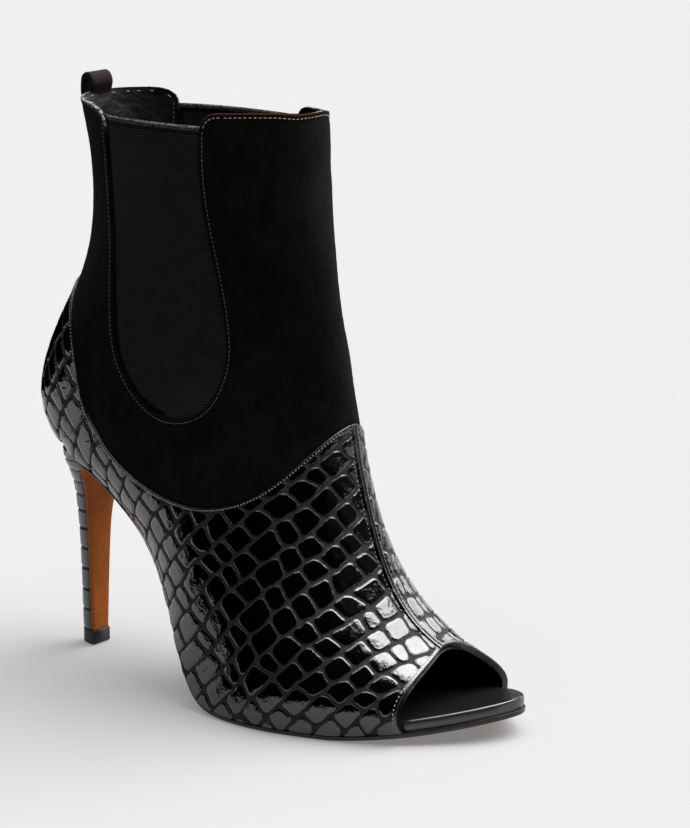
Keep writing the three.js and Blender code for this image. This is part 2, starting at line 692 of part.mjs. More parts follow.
// The top lift under the heel
function liftGeometry() {
  const front = tipFront + (LIFT_DEPTH - HEEL_TIP_DEPTH) / 2;
  const back = front - LIFT_DEPTH;
  const half = LIFT_WIDTH / 2;
  const shape = new THREE.Shape();
  shape.moveTo(front, -half);
  shape.lineTo(front, half);
  shape.absellipse(front, 0, front - back, half, Math.PI / 2, 3 * Math.PI / 2);
  return new THREE.ExtrudeGeometry(shape, {
    depth: LIFT_HEIGHT, bevelEnabled: false, curveSegments: 16,
  });
}

// The back line of the leg: how far forwards it is at a height
const backRows = SECTIONS.foot.map((_, i) => i).filter((i) => i > SEAT_ROW);
const backRow = spline(backRows.map(footZ), backRows);
const backLine = (z) => footX(backRow(z));

// The pull loop: a strap sewn outside and inside the back panel, standing up as a ring
function loopGeometry() {
  const tailZ = BACK_TOP - LOOP_TAIL;
  const clear = GAP + LOOP_THICK / 2;
  const up = (share) => mix(BACK_TOP, COLLAR_HEIGHT + LOOP_RISE - LOOP_THICK / 2, share);
  const legAt = (z, out) => new THREE.Vector3(backLine(z) + out, 0, z);
  const outer = SUEDE_STEP - clear;
  const inner = UPPER_WALL + clear + LOOP_BOW;
  const line = new THREE.CatmullRomCurve3([
    legAt(tailZ, outer),
    legAt(BACK_TOP - LOOP_TAIL * 0.65, outer),
    legAt(BACK_TOP - LOOP_TAIL * 0.35, outer - 1.2 * LOOP_THICK),
    ...LOOP.reach.map((reach, i) => (
      new THREE.Vector3(backLine(BACK_TOP) + reach * LOOP_DEPTH, 0, up(LOOP.up[i])))),
    legAt(BACK_TOP - LOOP_TAIL * 0.4, inner),
    legAt(tailZ, inner),
  ]);
  const middle = line.getPoints(36).map((point) => new THREE.Vector2(point.x, point.z));
  const outline = [...moved(middle, LOOP_THICK / 2), ...moved(middle, -LOOP_THICK / 2).reverse()];
  const geometry = new THREE.ExtrudeGeometry(new THREE.Shape(outline), {
    depth: LOOP_WIDTH, bevelEnabled: false,
  });
  geometry.rotateX(Math.PI / 2);
  geometry.translate(0, LOOP_WIDTH / 2, 0);
  return geometry;
}

const FINISH = {
  patent: new THREE.MeshStandardMaterial({ color: 0x0b0b0c, roughness: 0.15, metalness: 0 }),
  suede: new THREE.MeshStandardMaterial({ color: 0x08080a, roughness: 0.95, metalness: 0 }),
  elastic: new THREE.MeshStandardMaterial({ color: 0x141416, roughness: 0.8, metalness: 0 }),
  lining: new THREE.MeshStandardMaterial({ color: 0x0d0d0e, roughness: 0.45, metalness: 0 }),
  soleLeather: new THREE.MeshStandardMaterial({ color: 0x7a421e, roughness: 0.5, metalness: 0 }),
  rubber: new THREE.MeshStandardMaterial({ color: 0x161617, roughness: 0.7, metalness: 0 }),
  strap: new THREE.MeshStandardMaterial({ color: 0x1d1513, roughness: 0.75, metalness: 0 }),
};

// A named mesh from a solid or a closed geometry
function piece(name, form, finish) {
  const body = form.isBufferGeometry ? solid(form) : form;
  const { vertProperties, triVerts } = body.getMesh();
  const geometry = new THREE.BufferGeometry();
  geometry.setAttribute('position', new THREE.BufferAttribute(vertProperties, 3));
  geometry.setIndex(new THREE.BufferAttribute(triVerts, 1));
  const mesh = new THREE.Mesh(geometry, finish);
  mesh.name = name;
  return mesh;
}

const boot = new THREE.Group();
boot.add(
  piece('upper', upperSolid, FINISH.patent),
  piece('shaft', shaftSolid, FINISH.suede),
  piece('gore_lateral', gore(-1), FINISH.elastic),
  piece('gore_medial', gore(1), FINISH.elastic),
  piece('pull_loop', loopGeometry(), FINISH.strap),
  piece('insole', insoleSolid, FINISH.lining),
  piece('outsole', outsoleSolid, FINISH.soleLeather),
  piece('heel', heelSolid, FINISH.patent),
  piece('heel_breast', breastSolid, FINISH.soleLeather),
  piece('top_lift', liftGeometry(), FINISH.rubber),
);

// The origin: on the floor, under the middle of the boot's box
const box = new THREE.Box3().setFromObject(boot);
boot.position.set(-(box.min.x + box.max.x) / 2, -(box.min.y + box.max.y) / 2, -box.min.z);

const group = new THREE.Group();
group.add(boot);

export default group;
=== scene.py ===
"""Right peep toe ankle boot: embossed patent upper, suede shaft with elastic gores, pull loop,
insole, outsole, covered stiletto heel and top lift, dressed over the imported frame.
Lengths in the tables and functions are millimetres with the heel tip at x = 0, y = 0; meshes are
written in metres in the row frame."""
import math
import bpy
import numpy as np
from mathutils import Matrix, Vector
from mathutils.kdtree import KDTree


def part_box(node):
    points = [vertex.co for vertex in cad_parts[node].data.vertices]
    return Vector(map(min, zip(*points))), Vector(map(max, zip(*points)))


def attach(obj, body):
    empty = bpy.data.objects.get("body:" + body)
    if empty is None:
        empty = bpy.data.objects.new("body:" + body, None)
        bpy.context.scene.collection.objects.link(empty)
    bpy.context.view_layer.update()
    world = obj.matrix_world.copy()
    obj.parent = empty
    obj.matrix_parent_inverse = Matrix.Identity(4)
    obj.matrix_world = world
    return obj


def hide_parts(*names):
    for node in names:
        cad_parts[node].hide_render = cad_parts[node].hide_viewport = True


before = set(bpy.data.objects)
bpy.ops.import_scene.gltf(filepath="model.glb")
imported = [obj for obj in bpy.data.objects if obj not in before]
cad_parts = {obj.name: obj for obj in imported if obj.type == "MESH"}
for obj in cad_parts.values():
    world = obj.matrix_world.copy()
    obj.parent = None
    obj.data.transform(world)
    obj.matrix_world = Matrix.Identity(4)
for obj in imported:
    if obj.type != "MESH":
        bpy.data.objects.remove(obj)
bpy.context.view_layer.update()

# Sizes of the boot, as in the CAD model
SOLE_LENGTH, BALL_WIDTH, SHAFT_WIDTH = 211.5, 81.0, 69.0
SEAT_HEIGHT, COLLAR_HEIGHT, TOE_SPRING = 87.0, 236.5, 9.2
X_SEAT = -8.5
X_TIP = X_SEAT + SOLE_LENGTH
TOE_ROUND, SEAT_ROUND = 34.0, 21.0
WALL, SUEDE_STEP, GORE_FACE, GORE_WALL = 2.2, 0.6, 1.4, 1.2
OUTSOLE, GAP = 2.0, 0.3
FEATHER_BASE = OUTSOLE + GAP
BACK_TOP, FRONT_TOP = COLLAR_HEIGHT - 4.0, COLLAR_HEIGHT - 2.9
GORE_DROP, MEDIAL_SAG, MEDIAL_BACK = 6.7, 3.0, 10.5
BACK_CORNER, FRONT_CORNER = 8.0, 8.0
BELLY_SPLIT = 0.62
FAR = 400.0

# Where the heel tip's middle lies in the row frame, read off the top lift
lift_low, lift_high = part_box("top_lift")
LIFT_BACK = -6.22
SHIFT = np.array([lift_low[0] * 1000 - LIFT_BACK, (lift_low[1] + lift_high[1]) * 500, 0.0])

OUTLINE = np.array([  # along, centre, half
    (0, 0, .259), (.088, 0, .263), (.158, -.006, .238), (.229, -.019, .214), (.324, -.056, .265),
    (.418, -.068, .395), (.513, -.049, .475), (.608, -.025, .5), (.702, .019, .481),
    (.797, .074, .432), (.891, .136, .346), (1, .21, .247)])
PROFILE = np.array([  # along, arch, toe
    (0, 1, 0), (.04, .991, 0), (.088, .966, 0), (.135, .906, 0), (.175, .82, 0), (.215, .73, 0),
    (.248, .649, 0), (.3, .508, 0), (.333, .408, 0), (.362, .31, 0), (.4, .183, 0), (.437, .078, 0),
    (.475, .021, 0), (.513, .003, 0), (.56, -.001, 0), (.644, 0, -.01), (.74, 0, 0), (.797, 0, .12),
    (.891, 0, .44), (1, 0, 1)])
NONE = math.nan
SECTIONS = np.array([  # foot, rise, topX, topZ, leg, lateral, medial, belly, roof, base, centre
    (.948, NONE, .948, .093, 0, .309, .222, .30, 2.00, 2.0, .167),
    (.882, NONE, .896, .114, 0, .383, .309, .28, 2.00, 2.0, .130),
    (.811, NONE, .846, .137, 0, .438, .401, .26, 2.00, 2.0, .093),
    (.731, NONE, .799, .171, 0, .481, .457, .25, 1.95, 2.0, .062),
    (.641, NONE, .756, .220, 0, .512, .475, .25, 1.85, 2.0, .043),
    (.551, NONE, .723, .283, 0, .531, .457, .26, 1.80, 2.0, .031),
    (.466, NONE, .700, .351, 0, .518, .414, .30, 1.80, 2.0, .022),
    (.390, NONE, .683, .414, 0, .481, .383, .34, 1.85, 2.0, .015),
    (.319, NONE, .673, .469, .2, .458, .375, .36, 1.90, 2.1, .010),
    (.248, NONE, .663, .520, .4, .433, .381, .38, 1.95, 2.2, .005),
    (.177, NONE, .653, .567, .6, .420, .393, .40, 2.00, 2.4, .002),
    (.121, NONE, .644, .609, .8, .420, .413, .42, 2.05, 2.7, 0),
    (.059, NONE, .635, .647, 1, .406, .410, .44, 2.10, 3.0, 0),
    (.000, NONE, .627, .685, 1, .399, .406, .46, 2.10, 3.1, 0),
    (-.044, .094, .619, .723, 1, .406, .410, .48, 2.15, 3.1, 0),
    (-.045, .201, .611, .761, 1, .420, .423, .49, 2.20, 2.8, 0),
    (-.014, .321, .603, .795, 1, .442, .442, .50, 2.20, 2.5, 0),
    (.033, .442, .596, .829, 1, .461, .461, .50, 2.20, 2.3, 0),
    (.066, .562, .590, .863, 1, .472, .472, .50, 2.20, 2.2, 0),
    (.081, .676, .585, .896, 1, .483, .483, .50, 2.20, 2.2, 0),
    (.081, .789, .582, .930, 1, .493, .493, .50, 2.20, 2.2, 0),
    (.066, .903, .579, .970, 1, .499, .499, .50, 2.20, 2.2, 0),
    (.044, 1.010, .578, 1.011, 1, .501, .501, .50, 2.20, 2.2, 0)])
UPPER_EDGE = np.array([
    (-.102, .681), (.002, .681), (.050, .674), (.071, .655), (.089, .617), (.102, .562),
    (.112, .512), (.125, .463), (.160, .418), (.215, .378), (.291, .349), (.381, .337),
    (.456, .341), (.532, .362), (.598, .404), (.650, .462), (.688, .512), (.749, .592)])
GORE_EDGE = np.array([  # x, z, back
    (.201, .970, 1), (.204, .867, .91), (.211, .761, .68), (.212, .668, .38), (.209, .592, .10),
    (.229, .533, 0), (.274, .490, 0), (.340, .474, 0), (.407, .488, 0), (.449, .528, 0),
    (.463, .596, 0), (.455, .681, 0), (.444, .774, 0), (.432, .858, 0), (.429, .939, 0)])
PEEP_EDGE = np.array([  # x, y
    (.858, -.650), (.858, -.370), (.861, -.272), (.865, -.173), (.861, -.025), (.851, .099),
    (.848, .222), (.858, .321), (.879, .395), (.905, .457), (.939, .543), (.974, .650)])
HEEL = np.array([  # up, back, front, width, square
    (0, 0, 0, 0, 2.2), (.15, .10, 0, .03, 2.2), (.32, .20, 0, .07, 2.2), (.48, .42, .01, .11, 2.2),
    (.60, .60, .02, .17, 2.2), (.70, .74, .07, .26, 2.2), (.80, .86, .16, .43, 2.3),
    (.88, .94, .33, .68, 2.5), (.95, 1, .65, .92, 2.8), (1.05, 1.05, 1.05, 1.02, 3.0)])
LOOP = [(-.37, -.18), (-.39, .5), (-.29, .86), (-.01, 1), (.26, .87), (.42, .5), (.5, .1)]


def natural(xs, ys):
    """Natural cubic spline through (xs, ys), as a function of arrays."""
    xs, ys = np.array(xs, float), np.array(ys, float)
    n = len(xs)
    bend, carry = np.zeros(n), np.zeros(n)
    for i in range(1, n - 1):
        before, after = xs[i] - xs[i - 1], xs[i + 1] - xs[i]
        pull = 6 * ((ys[i + 1] - ys[i]) / after - (ys[i] - ys[i - 1]) / before)
        pivot = 2 * (before + after) - before * carry[i - 1]
        carry[i] = after / pivot
        bend[i] = (pull - before * bend[i - 1]) / pivot
    for i in range(n - 2, 0, -1):
        bend[i] -= carry[i] * bend[i + 1]

    def curve(x):
        x = np.asarray(x, float)
        i = np.clip(np.searchsorted(xs, x) - 1, 0, n - 2)
        step = xs[i + 1] - xs[i]
        a, b = (xs[i + 1] - x) / step, (x - xs[i]) / step
        curl = ((a ** 3 - a) * bend[i] + (b ** 3 - b) * bend[i + 1]) * step * step / 6
        return a * ys[i] + b * ys[i + 1] + curl
    return curve


def by_row(values):
    return natural(np.arange(len(values)), values)


def smoothstep(x, low, high):
    t = np.clip((np.asarray(x, float) - low) / (high - low), 0, 1)
    return t * t * (3 - 2 * t)


def along_sole(share):
    return X_SEAT + np.asarray(share) * SOLE_LENGTH


outline_centre = natural(OUTLINE[:, 0], OUTLINE[:, 1])
outline_half = natural(OUTLINE[:, 0], OUTLINE[:, 2])
arch_share = natural(PROFILE[:, 0], PROFILE[:, 1])
toe_share = natural(PROFILE[:, 0], PROFILE[:, 2])


def open_from(distance, round_):
    return np.sqrt(1 - (1 - np.clip(distance / round_, 0, 1)) ** 2)


def half_at(x, margin):
    half = outline_half((x - X_SEAT) / SOLE_LENGTH) * BALL_WIDTH - margin
    return half * open_from(X_TIP - margin - x, TOE_ROUND) * open_from(x - X_SEAT - margin, SEAT_ROUND)


def centre_at(x):
    return outline_centre((x - X_SEAT) / SOLE_LENGTH) * BALL_WIDTH


def feather_at(x):
    share = (x - X_SEAT) / SOLE_LENGTH
    return (FEATHER_BASE + np.maximum(0, arch_share(share)) * (SEAT_HEIGHT - FEATHER_BASE)
            + np.maximum(0, toe_share(share)) * TOE_SPRING)


SEAT_ROW = int(np.isnan(SECTIONS[:, 1]).sum()) - 1
LAST_ROW = len(SECTIONS) - 1
foot_x = by_row(along_sole(SECTIONS[:, 0]))
foot_z = by_row(np.where(np.isnan(SECTIONS[:, 1]), feather_at(along_sole(SECTIONS[:, 0])),
                         SEAT_HEIGHT + (COLLAR_HEIGHT - SEAT_HEIGHT) * np.nan_to_num(SECTIONS[:, 1])))
top_x, top_z = by_row(along_sole(SECTIONS[:, 2])), by_row(SECTIONS[:, 3] * COLLAR_HEIGHT)
leg_width = BALL_WIDTH + (SHAFT_WIDTH - BALL_WIDTH) * SECTIONS[:, 4]
lateral_width, medial_width = by_row(SECTIONS[:, 5] * leg_width), by_row(SECTIONS[:, 6] * leg_width)
belly, roof, base = by_row(SECTIONS[:, 7]), by_row(SECTIONS[:, 8]), by_row(SECTIONS[:, 9])
section_centre = by_row(SECTIONS[:, 10] * BALL_WIDTH)


def surface(row, turn, inset):
    """Points of the boot's surface moved inwards by inset; row from the toe to the collar, turn
    from -1 at the lateral foot of the section over 0 at its top to 1 at its medial foot."""
    row, turn = np.broadcast_arrays(np.asarray(row, float), np.asarray(turn, float))
    on_sole = row <= SEAT_ROW
    fx, tx, tz = foot_x(row), top_x(row), top_z(row)
    fz = np.where(on_sole, feather_at(fx), foot_z(row))
    length = np.hypot(tx - fx, tz - fz)
    lean_x, lean_z = (tx - fx) / length, (tz - fz) / length
    tx, tz = tx - lean_x * inset, tz - lean_z * inset
    in_x = fx + inset * np.clip(row - SEAT_ROW + 1, 0, 1)
    fz = np.where(on_sole, feather_at(in_x), fz + lean_z * inset)
    fx = np.where(on_sole, in_x, fx + lean_x * inset)
    side, centre = np.sign(turn), section_centre(row)
    width = np.where(side < 0, lateral_width(row), medial_width(row)) - inset
    half = half_at(fx, inset)
    edge = np.where(on_sole & (half > 0), np.abs(centre_at(fx) + side * half - centre), 0)
    widest = np.maximum(width, edge)
    share = np.abs(turn)
    low = (np.clip(share, BELLY_SPLIT, 1) - BELLY_SPLIT) / (1 - BELLY_SPLIT) * math.pi / 2
    power = base(row)
    tuck = (1 - (edge / widest) ** power) * np.sin(low) ** power
    out_low = widest * np.maximum(0, 1 - tuck) ** (1 / power)
    up_low = belly(row) * (1 - np.sin(low))
    high = np.clip(share, 0, BELLY_SPLIT) / BELLY_SPLIT * math.pi / 2
    power = 2 / roof(row)
    out_high = widest * np.sin(high) ** power
    up_high = belly(row) + (1 - belly(row)) * np.maximum(0, np.cos(high)) ** power
    under = share > BELLY_SPLIT
    out, up = np.where(under, out_low, out_high), np.where(under, up_low, up_high)
    return np.stack([fx + (tx - fx) * up, centre + side * out, fz + (tz - fz) * up], -1)


# Edges, as polylines in the XZ plane or the XY plane
def curve_points(xs, ys, steps):
    t = np.linspace(0, len(xs) - 1, (len(xs) - 1) * steps + 1)
    return np.stack([by_row(xs)(t), by_row(ys)(t)], -1)


def bezier(a, b, c, n):
    t = np.linspace(0, 1, n)[:, None]
    return (1 - t) ** 2 * np.array(a) + 2 * t * (1 - t) * np.array(b) + t * t * np.array(c)


upper_edge = curve_points(along_sole(UPPER_EDGE[:, 0]), UPPER_EDGE[:, 1] * COLLAR_HEIGHT, 6)
peep_edge = curve_points(along_sole(PEEP_EDGE[:, 0]), PEEP_EDGE[:, 1] * BALL_WIDTH, 8)


def gore_edge(side):
    back = GORE_EDGE[:, 2] * MEDIAL_BACK * (side > 0)
    return curve_points(along_sole(GORE_EDGE[:, 0]) - back, GORE_EDGE[:, 1] * COLLAR_HEIGHT, 6)


def gore_top(side):
    return COLLAR_HEIGHT - GORE_DROP - MEDIAL_SAG * (side > 0)


# The collar's corners, lateral and medial. At the back: how far the corner reaches back, the pull
# of its curve, and its extra depth. At the front: the shift of its curve, its length and its rise.
BACK_CORNERS = {-1: (10.0, (-1.2, -1.8), 0.0), 1: (11.0, (0.0, 0.0), 2.0)}
FRONT_CORNERS = {-1: (0.0, 8.0, 1.3), 1: (-1.0, 6.0, 0.0)}
# The front edge beyond its corner, by distance from the window and rise over the front's height
FRONT_EDGES = {-1: [(18, 1.7), (26, 1.6), (28.5, 1.0)], 1: [(18, -2.4), (27, -1.2)]}
FRONT_MEET = (30.0, 0.5)
CORNER_STEPS = 9


def collar_line(side):
    """The collar's cut from the back panel's top, down and round the window, to the front."""
    edge = gore_edge(side)
    back, front = edge[0], edge[-1]
    reach, pull, drop = BACK_CORNERS[side]
    shift, length, rise = FRONT_CORNERS[side]
    corner = FRONT_TOP - MEDIAL_SAG * (side > 0)
    back_low, front_low = BACK_TOP - 0.7 * BACK_CORNER - drop, corner - FRONT_CORNER
    corner += rise
    at_back = edge[:, 0] < (back[0] + front[0]) / 2
    keep = np.where(at_back, edge[:, 1] < back_low, edge[:, 1] < front_low)
    meet = FRONT_TOP + FRONT_MEET[1]
    return np.concatenate([
        [(-FAR, BACK_TOP)],
        bezier((back[0] - reach, BACK_TOP), (back[0] + pull[0], BACK_TOP + pull[1]),
               (back[0], back_low), CORNER_STEPS),
        edge[keep],
        bezier((front[0], front_low), (front[0] + shift, corner),
               (front[0] + length, corner), CORNER_STEPS),
        np.array(FRONT_EDGES[side] + [FRONT_MEET]) + (front[0], FRONT_TOP),
        [(top_x(LAST_ROW), meet), (FAR, meet)]])


def side_of(points, line):
    """Signed distance of 2D points from a polyline: positive on its right."""
    best = np.full(len(points), 1e9)
    signed = np.zeros(len(points))
    for a, b in zip(line[:-1], line[1:]):
        step = b - a
        length = step @ step
        if length < 1e-9:
            continue
        t = np.clip(((points - a) @ step) / length, 0, 1)
        gap = points - a - t[:, None] * step
        d = np.hypot(gap[:, 0], gap[:, 1])
        cross = (step[0] * (points[:, 1] - a[1]) - step[1] * (points[:, 0] - a[0])) / math.sqrt(length)
        nearer = (d < best - 1e-6) | ((np.abs(d - best) <= 1e-6) & (np.abs(cross) > np.abs(signed)))
        signed = np.where(nearer, np.where(cross > 0, -1, 1) * np.maximum(d, 1e-9), signed)
        best = np.minimum(best, d)
    return signed


def below_upper_edge(p):
    return side_of(p[:, [0, 2]], upper_edge)


def behind_peep(p):
    return -side_of(p[:, :2], peep_edge)


def below_collar(side):
    line = collar_line(side)
    return lambda p: side_of(p[:, [0, 2]], line)


# Meshes
def noise(p, scale, seed, octaves=2):
    """Smooth value noise at points p, with features of about scale mm, between -1 and 1."""
    table = np.random.default_rng(seed).uniform(-1, 1, 4096)
    total = np.zeros(len(p))
    weight = 0
    for k in range(octaves):
        q = p / scale * 2 ** k
        cell = np.floor(q).astype(int)
        f = q - cell
        f = f * f * (3 - 2 * f)
        value = np.zeros(len(p))
        for corner in range(8):
            o = np.array([corner & 1, corner >> 1 & 1, corner >> 2 & 1])
            c = cell + o
            h = table[(c[:, 0] * 73 + c[:, 1] * 1571 + c[:, 2] * 337 + k * 997) % 4096]
            value += h * np.prod(np.where(o, f, 1 - f), axis=1)
        total += value * 0.5 ** k
        weight += 0.5 ** k
    return total / weight


class Patch:
    """A piece of the boot's surface on one side: a grid evenly spread along each section."""

    def __init__(self, side, rows, across, inset, spacing):
        self.side = side
        coarse = np.linspace(rows[0], rows[1], 241)
        fine = np.linspace(0, 1, 301)
        rim = surface(coarse[:, None], side * np.linspace(.5, 1, 9)[None, :], inset)
        step = np.linalg.norm(np.diff(rim, axis=0), axis=2).max(axis=1)
        reach = np.concatenate([[0], np.cumsum(step)])
        count = int(reach[-1] / spacing) + 1
        self.rows = np.interp(np.linspace(0, reach[-1], count), reach, coarse)
        p = surface(self.rows[:, None], side * np.maximum(fine, 1e-5)[None, :], inset)
        arc = np.concatenate([np.zeros((count, 1)),
                              np.cumsum(np.linalg.norm(np.diff(p, axis=1), axis=2), axis=1)], axis=1)
        self.girth = arc[:, -1]
        share = np.linspace(0, 1, across)
        turn = np.stack([np.interp(share * g, a, fine) for g, a in zip(self.girth, arc)])
        self.p = surface(self.rows[:, None], side * turn, inset)
        self.out = share[None, :] * self.girth[:, None]
        n = np.cross(np.gradient(self.p, axis=0), np.gradient(self.p, axis=1))
        n /= np.linalg.norm(n, axis=2, keepdims=True) + 1e-12
        if (n * (self.p - self.p.mean(axis=1, keepdims=True))).sum() < 0:
            n = -n
        n[:, 0, 1] = 0
        closed = self.rows > SEAT_ROW + 0.2
        n[closed, -1, 1] = 0
        self.n = n / (np.linalg.norm(n, axis=2, keepdims=True) + 1e-12)
        self.shape = self.p.shape[:2]

    def flat(self):
        rows, across = self.shape
        index = np.arange(rows * across).reshape(rows, across)
        quads = np.stack([index[:-1, :-1], index[1:, :-1], index[1:, 1:], index[:-1, 1:]], -1)
        quads = quads.reshape(-1, 4)
        if self.side > 0:
            quads = quads[:, ::-1]
        return self.p.reshape(-1, 3), self.n.reshape(-1, 3), quads


def clip(fields, quads, f):
    """Keeps where f > 0. fields are per-point arrays; returns new fields, faces and cut edges."""
    inside = f > 0
    count = inside[quads].sum(axis=1)
    faces = quads[count == 4].tolist()
    cuts, edges, new = {}, [], []
    for quad in quads[(count > 0) & (count < 4)].tolist():
        out = []
        for k in range(4):
            a, b = quad[k], quad[(k + 1) % 4]
            if inside[a]:
                out.append(a)
            if inside[a] != inside[b]:
                key = (min(a, b), max(a, b))
                if key not in cuts:
                    cuts[key] = len(f) + len(new)
                    new.append(key)
                out.append(-1 - cuts[key])
        marks = [k for k, v in enumerate(out) if v < 0]
        face = [v if v >= 0 else -1 - v for v in out]
        faces.append(face)
        if len(marks) == 2:
            i, j = marks
            edges.append((face[i], face[j]) if j == i + 1 else (face[j], face[i]))
    if new:
        a, b = np.array(new).T
        t = (f[a] / (f[a] - f[b]))
        fields = [np.concatenate([v, v[a] + (v[b] - v[a]) * (t[:, None] if v.ndim > 1 else t)])
                  for v in fields]
    return fields, faces, edges


def drop_unused(fields, faces):
    used = np.zeros(len(fields[0]), bool)
    for face in faces:
        used[face] = True
    place = np.cumsum(used) - 1
    return [v[used] for v in fields], [place[face].tolist() for face in faces]


def rim(p, n, edges, f, profile):
    """A strip along cut edges; profile: (out of the region, up off the surface) for each ring."""
    ids = sorted({i for edge in edges for i in edge})
    where = {v: k for k, v in enumerate(ids)}
    q, m = p[ids], n[ids]
    step = 0.05
    here = f(q)
    grad = np.stack([f(q + step * np.eye(3)[k]) - here for k in range(3)], -1)
    grad -= (grad * m).sum(1, keepdims=True) * m
    away = -grad / (np.linalg.norm(grad, axis=1, keepdims=True) + 1e-9)
    rings = [q + away * o + m * u for o, u in profile]
    start = len(p)
    count = len(ids)
    faces = []
    for a, b in edges:
        ka, kb = where[a], where[b]
        chain_a = [a] + [start + r * count + ka for r in range(len(profile))]
        chain_b = [b] + [start + r * count + kb for r in range(len(profile))]
        for r in range(len(profile)):
            faces.append([chain_a[r], chain_a[r + 1], chain_b[r + 1], chain_b[r]])
    return np.concatenate(rings), faces


collection = bpy.context.scene.collection


def add_mesh(name, points, faces, material, nodes=(), attributes=None, smooth=True):
    """A piece from points in boot millimetres, riding on the boot's one body."""
    mesh = bpy.data.meshes.new(name)
    mesh.from_pydata(((np.asarray(points) + SHIFT) * 0.001).tolist(), [],
                     faces if isinstance(faces, list) else faces.tolist())
    mesh.polygons.foreach_set("use_smooth", np.full(len(mesh.polygons), smooth))
    for key, values in (attributes or {}).items():
        mesh.attributes.new(key, "FLOAT", "POINT").data.foreach_set("value", np.asarray(values, np.float32))
    materials = material if isinstance(material, list) else [material]
    for m in materials:
        mesh.materials.append(m)
    mesh.update()
    piece = bpy.data.objects.new(name, mesh)
    collection.objects.link(piece)
    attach(piece, "root")
    if nodes:
        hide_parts(*nodes)
    return piece


# Materials
def material(name, colour, rough, **inputs):
    m = bpy.data.materials.new(name)
    m.use_nodes = True
    shader = m.node_tree.nodes["Principled BSDF"]
    shader.inputs["Base Color"].default_value = (*colour, 1)
    shader.inputs["Roughness"].default_value = rough
    for key, value in inputs.items():
        shader.inputs[key.replace("_", " ")].default_value = value
    return m, shader


class Nodes:
    """Small helpers for a material's node tree."""

    def __init__(self, m):
        self.tree = m.node_tree

    def add(self, kind, **settings):
        node = self.tree.nodes.new(kind)
        for key, value in settings.items():
            if key in node.inputs:
                node.inputs[key].default_value = value
            else:
                setattr(node, key, value)
        return node

    def link(self, a, b):
        self.tree.links.new(a, b)

    def place(self, scale=(1, 1, 1)):
        """Object coordinates in millimetres, stretched by scale."""
        coords = self.add("ShaderNodeTexCoord")
        mapping = self.add("ShaderNodeMapping")
        mapping.inputs["Scale"].default_value = [1000 * s for s in scale]
        self.link(coords.outputs["Object"], mapping.inputs["Vector"])
        return mapping.outputs["Vector"]

    def grain(self, vector, size, detail=3, rough=0.6):
        node = self.add("ShaderNodeTexNoise", Scale=1 / size, Detail=detail, Roughness=rough)
        self.link(vector, node.inputs["Vector"])
        return node.outputs["Fac"]

    def attribute(self, name):
        return self.add("ShaderNodeAttribute", attribute_name=name).outputs["Fac"]

    def ramp(self, value, low, high, out_low=0.0, out_high=1.0):
        node = self.add("ShaderNodeMapRange", interpolation_type="SMOOTHSTEP")
        node.inputs["From Min"].default_value = low
        node.inputs["From Max"].default_value = high
        node.inputs["To Min"].default_value = out_low
        node.inputs["To Max"].default_value = out_high
        self.link(value, node.inputs["Value"])
        return node.outputs["Result"]

    def maths(self, what, a, b):
        node = self.add("ShaderNodeMath", operation=what)
        for socket, value in zip(node.inputs, (a, b)):
            if isinstance(value, (int, float)):
                socket.default_value = value
            else:
                self.link(value, socket)
        return node.outputs[0]

    def mix(self, fac, a, b):
        node = self.add("ShaderNodeMix", data_type="RGBA")
        self.link(fac, node.inputs[0])
        for socket, value in ((node.inputs[6], a), (node.inputs[7], b)):
            if isinstance(value, tuple):
                socket.default_value = (*value, 1)
            else:
                self.link(value, socket)
        return node.outputs[2]

    def bump(self, shader, height, strength, distance=0.001):
        node = self.add("ShaderNodeBump", Strength=strength, Distance=distance)
        self.link(height, node.inputs["Height"])
        previous = shader.inputs["Normal"].links
        if previous:
            self.link(previous[0].from_socket, node.inputs["Normal"])
        self.link(node.outputs["Normal"], shader.inputs["Normal"])


PAD_BLACK = (0.0006, 0.0006, 0.0007)
CREASE_DARK, CREASE_LIGHT = (0.0045, 0.0045, 0.0047), (0.042, 0.042, 0.043)
PAD_EDGE = (0.46, 0.66)  # depths in mm between which a crease turns into a pad


def patent_leather():
    """Glossy black pads between matte wrinkled creases; depth is the distance from a crease in mm."""
    m, shader = material("patent_leather", PAD_BLACK, 0.1, Specular_IOR_Level=0.75)
    k = Nodes(m)
    place = k.place()
    depth = k.attribute("depth")
    wrinkle = k.grain(place, 0.5, 4, 0.7)
    ripple = k.grain(place, 2.6, 2, 0.5)
    frayed = k.maths("ADD", depth, k.maths("MULTIPLY", k.maths("SUBTRACT", wrinkle, 0.5), 0.28))
    pad = k.ramp(frayed, *PAD_EDGE)
    crease = k.mix(k.ramp(wrinkle, 0.38, 0.66), CREASE_DARK, CREASE_LIGHT)
    k.link(k.mix(pad, crease, PAD_BLACK), shader.inputs["Base Color"])
    rough = k.add("ShaderNodeMix")
    k.link(pad, rough.inputs[0])
    rough.inputs[2].default_value = 0.55
    k.link(k.ramp(ripple, 0.3, 0.75, 0.06, 0.14), rough.inputs[3])
    k.link(rough.outputs[0], shader.inputs["Roughness"])
    k.link(k.ramp(pad, 0, 1, 0.1, 0.95), shader.inputs["Specular IOR Level"])
    k.bump(shader, k.maths("MULTIPLY", wrinkle, k.ramp(frayed, 0.4, 0.85, 0.4, 0.015)), 1.0, 0.0009)
    k.bump(shader, k.ramp(frayed, 0.38, 0.7), 0.75, 0.00022)
    k.bump(shader, ripple, 0.22, 0.001)
    return m


NAP_DARK, NAP_MIDDLE = (0.0012, 0.0012, 0.00125), (0.0034, 0.0034, 0.0036)
NAP_LIGHT = (0.0075, 0.0075, 0.0078)
WORN_PALE, WORN_DARK, RAW_BROWN = (0.42, 0.40, 0.385), (0.008, 0.0075, 0.007), (0.085, 0.032, 0.017)


